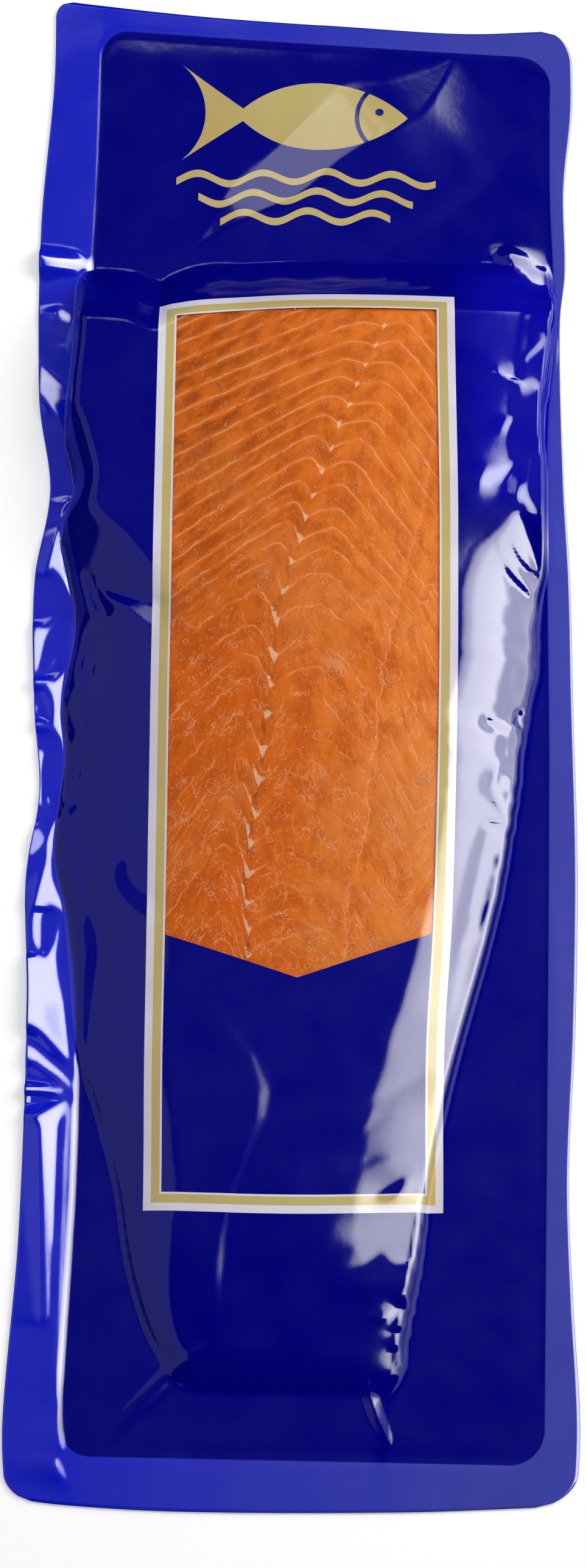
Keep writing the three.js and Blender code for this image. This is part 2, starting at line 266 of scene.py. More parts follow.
RIGHT_FACETS = (
    (0.24, (77.5, 71.5), (79, 71), (83, 65), (87, 61.5), (91.5, 61), (90, 59.5), (85.5, 61), (81, 65)),
    (0.2, (73, 70.5), (76, 63.5), (79.5, 59.5), (87.5, 53), (87, 51), (78, 57.5), (72.5, 68)),
    (0.03, (85.5, 7), (86, 4.5), (85.5, 0), (83.5, 1), (83, 5.5)),
    (0.27, (70, 3.5), (73, 0.5), (79.5, 0), (82.5, -1), (74.5, -2.5), (71, -1)),
    (0.35, (80.5, 102), (74, 94), (69.5, 90.5), (67, 90.5), (66, 93), (68, 97.5), (73.5, 100.5), (78, 102)),
    (
        0.27, (84, 93.5), (85.5, 88), (88.5, 82.5), (88, 79.5), (86.5, 80), (83, 86), (81.5, 85.5),
        (80, 87), (81, 91),
    ),
    (0.12, (85, 92), (86.5, 105.5), (85, 105), (84, 93)),
    (0.4, (73, 138.5), (76.5, 138), (83, 134.5), (89.5, 134.5), (89.5, 133.5), (82.5, 132.5), (73, 137.5)),
    (0.33, (74.5, 114.5), (76.5, 114.5), (79.5, 119.5), (78.5, 121.5), (76.5, 119)),
    (0.25, (93, 155.5), (90.5, 149.5), (82.5, 142), (82.5, 144)),
    (
        0.3, (77.5, 194.5), (84, 192.5), (96, 185), (95.5, 182), (91.5, 177), (85.5, 185), (80, 189.5),
        (76.5, 193),
    ),
    (
        0.21, (69.5, -18), (74.5, -17), (72.5, -22), (72.5, -26), (75, -31), (79, -38.5), (77, -38),
        (67, -28.5), (66.5, -25.5), (67, -21.5),
    ),
    (0.02, (73, -20), (73.5, -22), (72, -25), (71.5, -23.5)),
    (0.24, (69, -36), (74.5, -39.5), (79.5, -40.5), (77.5, -42), (73.5, -41.5), (70.5, -39.5)),
    (0.2, (67.5, -40), (71.5, -42), (63.5, -79), (57.5, -101.5), (56.5, -112.5), (58, -81), (63.5, -53.5)),
    (0.4, (75.5, -43.5), (73.5, -50), (60, -109.5), (58, -113.5), (70.5, -49.5), (72.5, -43)),
    (0.06, (76.5, -51), (75.5, -57), (73, -56.5), (73.5, -51.5)),
    (0.08, (74.5, -60.5), (73.5, -64), (72, -63.5), (72.5, -60.5)),
    (0.06, (72.5, -65.5), (72, -68.5), (70.5, -68.5), (71, -65.5)),
    (0, (72.5, -69.5), (71.5, -74.5), (68.5, -83.5), (68, -79.5), (69, -75), (70.5, -70)),
    (0.22, (70, -83.5), (65.5, -101), (63.5, -106.5), (64.5, -96.5), (66.5, -88.5), (68, -83.5)),
    (
        0.16, (53.5, -137), (51.5, -148), (43.5, -148), (35.5, -151), (24, -161.5), (29.5, -148.5),
        (38.5, -143), (49.5, -135.5),
    ),
    (0.1, (22, -175), (25.5, -173), (28, -169), (33.5, -169), (36.5, -169.5), (26.5, -174)),
    (0, (29.5, -184), (40.5, -176.5), (42, -177), (40.5, -181), (37.5, -184)),
    (
        0.2, (47.5, -190), (46, -207.5), (38, -208), (33, -203.5), (24, -210), (24.5, -206),
        (22.5, -203.5), (27, -199), (28, -191),
    ),
    (0.04, (44, -209), (41, -221), (27, -222), (24, -212), (33, -205), (38, -209)),
    (
        0.37, (33, -229.5), (36.5, -225.5), (41.5, -222.5), (43.5, -222.5), (43.5, -226.5),
        (40.5, -228.5), (35.5, -230),
    ),
    (0.36, (42, -233.5), (41.5, -236), (38.5, -237), (38, -234.5)),
    (0.28, (41.5, -239.5), (41.5, -248), (38.5, -249), (38.5, -240.5)),
)

# Creases in the film, each a path of (x, y, height, reach to -X, reach to +X)
SLACK_CREASES = (
    # left edge of the bulge, head end
    ((-97, 150, 0, 3, 2), (-95, 158, 1.4, 3, 5), (-93, 163, 1.2, 3, 4), (-92.5, 168, 0, 2, 2)),
    # long soft crease below the window
    (
        (-30, -242, 0, 8, 4), (-30, -230, 0.55, 12, 5), (-31, -215, 0.64, 14, 6), (-30, -200, 0.64, 14, 6),
        (-27, -182, 0.66, 14, 7), (-22, -168, 0.76, 14, 8), (-18, -155, 0.9, 14, 9), (-17, -145, 0.9, 14, 9),
        (-20, -133, 0.72, 12, 6), (-30, -120, 0.55, 10, 5), (-38, -112, 0, 8, 4),
    ),
    # tail
    (
        (-71, -278, 0, 3, 5), (-60, -264, 0.7, 3, 6), (-47, -251, 1.2, 3, 6), (-38, -245, 0.8, 3, 5),
        (-30, -240, 0, 2, 2),
    ),
    (
        (38, -279, 0, 1, 1), (35.2, -272, 1.3, 1.8, 1.8), (32, -265, 1.9, 2.4, 2.4),
        (29, -257, 1.9, 2.4, 2.4), (27, -250, 0, 1, 1),
    ),
)

# Long fold across the head panel: its direction, then the foot of its even side and its ridge as
# knots (way along it, offset), how steep the even side is, and how far the shallow side reaches
FOLD_WAY = (0.783, 0.622)
FOLD_FOOT = (
    (78, 183), (92, 186), (108, 194), (134, 197), (159, 201), (172, 202), (190, 192.5), (205, 187.5),
    (217, 184),
)
FOLD_RIDGE = (
    (78, 183), (92, 182.5), (114, 178), (130, 174.5), (153, 176), (175, 174), (192, 173), (205, 178),
    (217, 184),
)
FOLD_TILT = 0.14
FOLD_REACH = 42.0

WELD = 1.1  # top of the rim
PANEL_DROP = 0.4  # the panel lies this far under the rim
UNDER_FILM = 0.75  # the flesh lies this far under the outside of the film
BUBBLE_DEPTH = 0.45  # and the bubbles this far
FISH_EDGE = 2.2  # height of the fish's edges
FISH_UNDERSIDE = 1.4
GRID_ACROSS = (0.75, 1.2, 1.3, 0.85, 0.95)  # spacing of the front web's mesh, left to right
GRID_ALONG = 1.3


def through(knots, at):
    """Value at a place of the smooth curve through knots (place, value)."""
    place, value = np.asarray(sorted(knots), float).T
    slope = np.gradient(value, place)
    slope[1:-1] = (value[2:] - value[:-2]) / (place[2:] - place[:-2])
    at = np.clip(at, place[0], place[-1])
    i = np.clip(np.searchsorted(place, at, side="right") - 1, 0, len(place) - 2)
    span = place[i + 1] - place[i]
    s = (at - place[i]) / span
    return (
        (2 * s**3 - 3 * s**2 + 1) * value[i]
        + (s**3 - 2 * s**2 + s) * slope[i] * span
        + (3 * s**2 - 2 * s**3) * value[i + 1]
        + (s**3 - s**2) * slope[i + 1] * span
    )


def between(marks, places, at):
    """Straight-line map from marks in the flat print to their places on the pack."""
    out = places[0] + 0 * at
    for low, high, start, end in zip(marks, marks[1:], places, places[1:]):
        out = out + np.clip((at - low) / (high - low), 0, 1) * (end - start)
    return out


def ramp(value, low, high):
    """Smooth step from 0 at low to 1 at high."""
    s = np.clip((value - low) / (high - low), 0, 1)
    return s * s * (3 - 2 * s)


def corner(radius, distance):
    """How far a round corner has drawn an edge in, this far from the end."""
    inside = np.clip(radius - distance, 0, radius)
    return radius - np.sqrt(radius**2 - inside**2)


def on_pack(u, v):
    """Place on the pack (x, y) of a point of the flat print (u, v)."""
    up = v - PRINT_ALONG[0]
    down = PRINT_ALONG[-1] - v
    left = through(LEFT_EDGE, v) + corner(CORNERS["bottom_left"], up) + corner(CORNERS["top_left"], down)
    right = through(RIGHT_EDGE, v) - corner(CORNERS["bottom_right"], up) - corner(CORNERS["top_right"], down)
    weld_left = np.maximum(through(PANEL_LEFT, v), left + 2)
    weld_right = np.minimum(through(PANEL_RIGHT, v), right - 2)
    across = [left, weld_left, through(FRAME_LEFT, v), through(FRAME_RIGHT, v), weld_right, right]
    x = between(PRINT_ACROSS, across, u)
    lines = (BOTTOM_EDGE, PANEL_BOTTOM, FRAME_FOOT, FRAME_HEAD, PANEL_TOP, TOP_EDGE)
    return x, between(PRINT_ALONG, [through(line, x) for line in lines], v)


def stations(marks, steps):
    """Places from the first mark to the last, about a step apart, with every mark among them."""
    parts = [
        np.linspace(low, high, max(1, round((high - low) / step)), endpoint=False)
        for low, high, step in zip(marks, marks[1:], steps)
    ]
    return np.append(np.concatenate(parts), marks[-1])


def noise(x, y, size, seed):
    """Smooth random field between -1 and 1 whose lumps are about a size across."""
    draw = np.random.default_rng(seed)
    table = draw.uniform(-1, 1, (64, 64))
    gx, gy = x / size + 17.3, y / size + 9.1
    i, j = np.floor(gx).astype(int), np.floor(gy).astype(int)
    fx, fy = gx - i, gy - j
    fx, fy = fx * fx * (3 - 2 * fx), fy * fy * (3 - 2 * fy)

    def knot(a, b):
        return table[(i + a) % 64, (j + b) % 64]

    low = knot(0, 0) * (1 - fx) + knot(1, 0) * fx
    high = knot(0, 1) * (1 - fx) + knot(1, 1) * fx
    return low * (1 - fy) + high * fy


def panel_depth(u, v):
    """Distance inside the panel's rounded outline, in the flat print."""
    low, high = (PRINT_ACROSS[1], PRINT_ALONG[1]), (PRINT_ACROSS[4], PRINT_ALONG[4])
    radius = np.where(u > 0, 15.0, 12.0)
    qx = np.abs(u - (low[0] + high[0]) / 2) - (high[0] - low[0]) / 2 + radius
    qy = np.abs(v - (low[1] + high[1]) / 2) - (high[1] - low[1]) / 2 + radius
    outside = np.hypot(np.maximum(qx, 0), np.maximum(qy, 0))
    return radius - outside - np.minimum(np.maximum(qx, qy), 0)


def flank(distance, terrace, width, foot, bend):
    """Share of the height this far in from the foot of a flank: a small step, a flat and a slope."""
    rise = 1 - (1 - np.clip((distance - terrace) / width, 0, 1)) ** bend
    return foot * ramp(distance, 0, 1.3) + (1 - foot) * rise


def right_foot(x, y):
    """Where the right flank starts, with its small waves."""
    ragged = 0.8 * noise(x * 0.2, y, 4.2, 21) * ramp(y, -90, -40) * (1 - ramp(y, 40, 58))
    ragged += 1.8 * noise(x * 0.2, y, 13, 22) * ramp(y, 80, 95)
    return through(BULGE_RIGHT, y) + ragged


def film_sheen(x, y):
    """Share of its gloss that the front web keeps: less where it is stretched round the foot of
    the right flank."""
    foot = right_foot(x, y) - x
    line = ramp(foot, -4, -2.8) * (1 - ramp(foot, 0.7, 1.4)) * (1 - ramp(y, 60, 90))
    crest = ramp(foot, -4, -2.8) * (1 - ramp(foot, 2.2, 3)) * (1 - ramp(y, -214, -204)) * 0.8
    wall = ramp(foot, -2.5, -1.4) * (1 - ramp(foot, 2.6, 3.6)) * ramp(y, 60, 90) * (1 - ramp(y, 184, 190))
    end = ramp(foot, -3, -2) * (1 - ramp(foot, 10, 13)) * ramp(-y, 248, 251) * (1 - ramp(-y, 258, 260))
    return 1 - 0.92 * np.maximum.reduce([line, crest, wall, end])


def bulge(x, y):
    """Height that the fish adds under the front web."""
    foot_left = through(BULGE_LEFT, y)
    foot_right = right_foot(x, y)
    crown, shoulder = through(CROWN, y), through(SHOULDER, y)
    terrace = through(TERRACE, y)
    top = foot_right - terrace - through(FLANK_RIGHT, y)
    lean = np.clip((x + 25) / (top + 25), 0, 1)
    height = crown - (crown - shoulder) * lean**2
    left = flank(x - foot_left, 0, through(FLANK_LEFT, y), through(STEP_LEFT, y) / crown, 1.7)
    step, bend = through(STEP_RIGHT, y) / shoulder, through(BEND_RIGHT, y)
    right = flank(foot_right - x, terrace, through(FLANK_RIGHT, y), step, bend)
    tail = flank(y - TAIL_END, 0, TAIL_SLOPE, 0.12, 1.9)
    head = flank(through(HEAD_END, x) - y, 0, HEAD_SLOPE, 0, 1.25)
    return height * left * right * tail * head


def crease(x, y, path):
    """Height of one crease: smooth up to the path from both sides."""
    height, nearest = np.zeros_like(x), np.full_like(x, np.inf)
    for start, end in zip(path, path[1:]):
        way_x, way_y = end[0] - start[0], end[1] - start[1]
        share = ((x - start[0]) * way_x + (y - start[1]) * way_y) / (way_x**2 + way_y**2)
        share = np.clip(share, 0, 1)
        off_x, off_y = x - start[0] - share * way_x, y - start[1] - share * way_y
        distance = np.hypot(off_x, off_y)
        across = (way_y * off_x - way_x * off_y) * (1 if way_y >= 0 else -1)
        high, west, east = (start[k] + share * (end[k] - start[k]) for k in (2, 3, 4))
        rise = high * ramp(-distance / np.where(across > 0, east, west), -1, 0)
        height = np.where(distance < nearest, rise, height)
        nearest = np.minimum(nearest, distance)
    return height


def creases(x, y, paths):
    """Height of all the creases of a list, each worked out only round its own path."""
    total = np.zeros_like(x)
    for path in paths:
        reach = max(max(point[3:]) for point in path)
        near = (x > min(point[0] for point in path) - reach) & (x < max(point[0] for point in path) + reach)
        near &= (y > min(point[1] for point in path) - reach) & (y < max(point[1] for point in path) + reach)
        total[near] += crease(x[near], y[near], path)
    return total


def long_fold(x, y):
    """Height of the fold across the head panel: one even side and one long shallow side."""
    along = x * FOLD_WAY[0] + y * FOLD_WAY[1]
    off = y * FOLD_WAY[0] - x * FOLD_WAY[1]
    foot, ridge = through(FOLD_FOOT, along), through(FOLD_RIDGE, along)
    inside = (along > FOLD_FOOT[0][0]) & (along < FOLD_FOOT[-1][0])
    high = FOLD_TILT * np.maximum(foot - ridge, 0)
    steep = FOLD_TILT * (foot - off)
    shallow = high * (1 - (ridge - off) / FOLD_REACH)
    return np.where(inside, np.clip(np.minimum(steep, shallow), 0, None), 0)


def blurred(field, passes):
    """The field with its creases rounded, one grid cell a pass."""
    for _ in range(passes):
        wide = np.pad(field, 1, mode="edge")
        field = (2 * wide[1:-1, 1:-1] + wide[:-2, 1:-1] + wide[2:, 1:-1]) / 4
        wide = np.pad(field, 1, mode="edge")
        field = (2 * wide[1:-1, 1:-1] + wide[1:-1, :-2] + wide[1:-1, 2:]) / 4
    return field


def within(x, y, outline, soft):
    """Share of each place that lies in an outline, with a soft edge."""
    nearest, crossings = np.full_like(x, np.inf), np.zeros(x.shape, bool)
    for (x0, y0), (x1, y1) in zip(outline, outline[1:] + outline[:1]):
        way_x, way_y = x1 - x0, y1 - y0
        share = np.clip(((x - x0) * way_x + (y - y0) * way_y) / (way_x**2 + way_y**2), 0, 1)
        nearest = np.minimum(nearest, np.hypot(x - x0 - share * way_x, y - y0 - share * way_y))
        if way_y:
            crossings ^= ((y0 > y) != (y1 > y)) & (x < x0 + (y - y0) * way_x / way_y)
    return ramp(np.where(crossings, nearest, -nearest), -soft, soft)


def facet_slopes(x, y, z, facets):
    """Changes of slope across and along the pack that make the facets even, and where they hold."""
    slope = np.gradient(z, axis=1) / np.gradient(x, axis=1)
    wanted, firm = slope.copy(), np.zeros_like(z)
    for fall, *outline in facets:
        low_x, low_y = np.min(outline, axis=0) - 1
        high_x, high_y = np.max(outline, axis=0) + 1
        near = (x > low_x) & (x < high_x) & (y > low_y) & (y < high_y)
        share = within(x[near], y[near], outline, 0.6)
        wanted[near] += share * (-fall - wanted[near])
        firm[near] = np.maximum(firm[near], share)
    return wanted - slope, -np.gradient(z, axis=0) / np.gradient(y, axis=0), firm


def rim_lift(x, y):
    """Lift of the crumpled left rim, added up from the panel's edge outwards."""
    slopes, _, firm = facet_slopes(x, y, 0 * x, RIM_FACETS)
    step = np.gradient(x, axis=1)
    keep = np.exp(-(1 - firm) * step / 7)
    lift = np.zeros_like(x)
    for column in range(x.shape[1] - 2, -1, -1):
        lift[:, column] = lift[:, column + 1] * keep[:, column] - slopes[:, column] * step[:, column]
    return lift * ramp(-x, 60, 70)


def relaxed(slopes_across, slopes_along, firm, level, held, x, y):
    """Smallest lift of the film that has these slopes where they are firm and stays down where
    it is held: a least-squares fit, found by conjugate gradients."""
    run, rise = np.diff(x, axis=1), np.diff(y, axis=0)
    hold_across = 1 + 12.5 * (firm[:, 1:] + firm[:, :-1])
    hold_along = 0.6 + 7.5 * (level[1:] + level[:-1])
    asked_across = (slopes_across[:, 1:] + slopes_across[:, :-1]) / 2
    asked_along = (slopes_along[1:] + slopes_along[:-1]) / 2

    def gathered(across, along):
        total = np.zeros_like(x)
        total[:, 1:] += across
        total[:, :-1] -= across
        total[1:] += along
        total[:-1] -= along
        return total

    def applied(lift):
        across = hold_across * np.diff(lift, axis=1) / run**2
        along = hold_along * np.diff(lift, axis=0) / rise**2
        return gathered(across, along) + (0.002 + held) * lift

    lift = np.zeros_like(x)
    left_over = gathered(hold_across * asked_across / run, hold_along * asked_along / rise)
    way, size = left_over.copy(), np.sum(left_over**2)
    for _ in range(320):
        pull = applied(way)
        stride = size / np.sum(way * pull)
        lift += stride * way
        left_over -= stride * pull
        size, before = np.sum(left_over**2), size
        way = left_over + size / before * way
    return lift


def front_height(x, y, u, v):
    """Outside of the front web over the surface that the pack lies on, and the lift of the rim."""
    inside = panel_depth(u, v)
    drop = PANEL_DROP * (ramp(inside, -0.5, 0.7) + 0.3 * (1 - ramp(inside, 0, 8)) * (inside > 0))
    film = bulge(x, y)
    slack = creases(x, y, SLACK_CREASES) + long_fold(x, y)
    # Waves of the right rim, soft dents all over, puckers along the right flank's foot, and loose
    # film at the lower part of both flanks
    wave = 0.35 * noise(x * 0.4, y, 26, 5) * ramp(-inside, 1, 9) * (x > 0)
    cushion = 0.1 * noise(x, y, 31, 3) + 0.05 * noise(x, y, 13, 4)
    foot = through(BULGE_RIGHT, y) - x
    pucker = 0.7 * noise(x, y, 5.5, 8) * ramp(foot, 0.5, 3) * (1 - ramp(foot, 6, 11))
    pucker *= ramp(y, -95, -80) * (1 - ramp(y, 40, 58))
    loose = 0.35 * noise(x, y, 15, 9) * ramp(film, 1, 5) * (1 - ramp(film, 9, 19))
    z = blurred(WELD - drop + wave + cushion + film + slack + pucker + loose, 1)
    rim = blurred(rim_lift(x, y), 1)
    across, along, firm = facet_slopes(x, y, z, LEFT_FACETS + RIGHT_FACETS)
    corner_drop = ramp(y, 176, 182) * ramp(x, 60, 70)
    level = firm * corner_drop
    held = 2 * (1 - ramp(film, 0.3, 2.5)) * (1 - firm) * (1 - 0.97 * corner_drop)
    return z + rim + relaxed(across, along * level, firm, level, held, x, y) * ramp(inside, 0, 1), rim


class Sheet:
    """The front web as a grid of points, each with its place in the print and on the pack."""

    def __init__(self):
        left, right = PRINT_ACROSS[2] + WINDOW_INSET, PRINT_ACROSS[3] - WINDOW_INSET
        head = PRINT_ALONG[3] - WINDOW_INSET
        self.columns = stations((*PRINT_ACROSS[:2], left, right, *PRINT_ACROSS[4:]), GRID_ACROSS)
        below, above = WINDOW_BEND
        marks = (*PRINT_ALONG[:2], below, WINDOW_FOOT, above, head, *PRINT_ALONG[4:])
        self.rows = stations(marks, [GRID_ALONG] * 7)
        v, u = np.meshgrid(self.rows, self.columns, indexing="ij")
        middle, half = (left + right) / 2, (right - left) / 2
        dip = np.clip(1 - np.abs(u - middle) / half, 0, 1) * (WINDOW_POINT - WINDOW_FOOT)
        under, over = (v - below) / (WINDOW_FOOT - below), (above - v) / (above - WINDOW_FOOT)
        near = np.where(v < WINDOW_FOOT, under, over)
        self.u, self.v = u, v + dip * np.clip(near, 0, 1)
        self.x, self.y = on_pack(self.u, self.v)
        self.z, self.lift = front_height(self.x, self.y, self.u, self.v)
        self.sheen = film_sheen(self.x, self.y)
        middle_u = (self.columns[1:] + self.columns[:-1]) / 2
        middle_v = (self.rows[1:] + self.rows[:-1]) / 2
        open_u = (middle_u > left) & (middle_u < right)
        open_v = (middle_v > WINDOW_FOOT) & (middle_v < head)
        self.window = open_v[:, None] & open_u[None, :]
        self.print_map = np.stack([self.u.ravel(), self.v.ravel()], axis=1) / PRINT_SPAN + 0.5

    def height_at(self, x, y):
        """Height of the film over any place (x, y), read from the grid."""
        guess_u, guess_v = np.clip(x, PRINT_ACROSS[0], PRINT_ACROSS[-1]), y
        for _ in range(6):
            px, py = on_pack(guess_u, guess_v)
            guess_u, guess_v = guess_u + (x - px), guess_v + (y - py)
        i, share_v = cell(self.rows, guess_v)
        j, share_u = cell(self.columns, guess_u)
        low = self.z[i, j] * (1 - share_u) + self.z[i, j + 1] * share_u
        high = self.z[i + 1, j] * (1 - share_u) + self.z[i + 1, j + 1] * share_u
        return low * (1 - share_v) + high * share_v


def cell(marks, at):
    """Number of the grid cell that a place falls in, and how far across that cell it is."""
    i = np.clip(np.searchsorted(marks, at) - 1, 0, len(marks) - 2)
    return i, np.clip((at - marks[i]) / (marks[i + 1] - marks[i]), 0, 1)


def grid_quads(rows, columns, keep=None):
    """Corner numbers of the quads of a grid, counter-clockwise from above."""
    i, j = np.meshgrid(np.arange(rows - 1), np.arange(columns - 1), indexing="ij")
    start = i * columns + j
    quads = np.stack([start, start + 1, start + columns + 1, start + columns], axis=-1)
    return quads[keep] if keep is not None else quads.reshape(-1, 4)


def border(rows, columns):
    """Numbers of the points round a grid, counter-clockwise from above."""
    bottom = np.arange(columns)
    right = np.arange(1, rows) * columns + columns - 1
    top = (rows - 1) * columns + np.arange(columns - 2, -1, -1)
    left = np.arange(rows - 2, 0, -1) * columns
    return np.concatenate([bottom, right, top, left])


def skirt(edge, start):
    """Quads from the points round a grid down to a ring of points numbered from start."""
    count = len(edge)
    ends = [(i, (i + 1) % count) for i in range(count)]
    return [[edge[k], edge[i], start + i, start + k] for i, k in ends]


def in_rows(x, y, z):
    """The points of a grid as one list."""
    return np.stack([x, y, z], axis=-1).reshape(-1, 3)


def in_scene(name, data):
    """A new object of the scene."""
    made = bpy.data.objects.new(name, data)
    bpy.context.scene.collection.objects.link(made)
    return made


def make_mesh(name, points, faces, uv=None, fields=None):
    """A smooth mesh object from points in mm; unused points are dropped."""
    faces = [list(map(int, face)) for face in faces]
    used = np.unique(np.concatenate([np.asarray(face) for face in faces]))
    place = np.full(len(points), -1)
    place[used] = np.arange(len(used))
    mesh = bpy.data.meshes.new(name)
    mesh.from_pydata((np.asarray(points)[used] * MM).tolist(), [], [[place[i] for i in f] for f in faces])
    if uv is not None:
        layer = mesh.uv_layers.new(name="print")
        corners = np.empty(len(mesh.loops), dtype=np.int32)
        mesh.loops.foreach_get("vertex_index", corners)
        layer.data.foreach_set("uv", np.asarray(uv, dtype=np.float32)[used][corners].ravel())
    for field, values in (fields or {}).items():
        attribute = mesh.attributes.new(field, "FLOAT", "POINT")
        attribute.data.foreach_set("value", np.asarray(values, dtype=np.float32)[used])
    mesh.shade_smooth()
    mesh.update()
    return in_scene(name, mesh)


def linear(colour):
    """A hex colour such as #1a2b3c as linear red, green, blue and alpha."""
    values = [int(colour[i:i + 2], 16) / 255 for i in (1, 3, 5)]
    return tuple(c / 12.92 if c <= 0.04045 else ((c + 0.055) / 1.055) ** 2.4 for c in values) + (1.0,)


# Kinds of node that the materials use most, each with the setting that it needs
SHORT_KINDS = {
    "mix": ("Mix", {"data_type": "RGBA"}),
    "step": ("MapRange", {"interpolation_type": "SMOOTHSTEP"}),
}


def node_adder(owner):
    """Clears the node tree of a material, a world or a node group, and gives back the function
    that adds a node to it."""
    if not isinstance(owner, bpy.types.NodeTree):
        owner.use_nodes = True
        owner = owner.node_tree
    owner.nodes.clear()

    def add(kind, *inputs, **named):
        """Adds a node and gives it back. A kind in capitals is an operation of the Math node.
        Inputs are values, sockets or nodes, in the order of the node's own sockets or by name,
        and names in small letters are the node's settings."""
        kind_name, settings = SHORT_KINDS.get(kind, (kind, {}))
        if kind.isupper():
            kind_name, settings = "Math", {"operation": kind}
        node = owner.nodes.new(kind_name if "Node" in kind_name else "ShaderNode" + kind_name)
        for key, value in {**settings, **named}.items():
            if key.islower():
                setattr(node, key, value)
        pairs = list(zip([socket for socket in node.inputs if socket.enabled], inputs))
        pairs += [(node.inputs[key.replace("_", " ")], named[key]) for key in named if not key.islower()]
        for socket, value in pairs:
            if isinstance(value, bpy.types.Node):
                value = next(output for output in value.outputs if output.enabled)
            if isinstance(value, bpy.types.NodeSocket):
                owner.links.new(value, socket)
            else:
                socket.default_value = value
        return node

    return add


def new_material(name):
    """A bare material and the function that adds nodes to it."""
    material = bpy.data.materials.new(name)
    return material, node_adder(material)


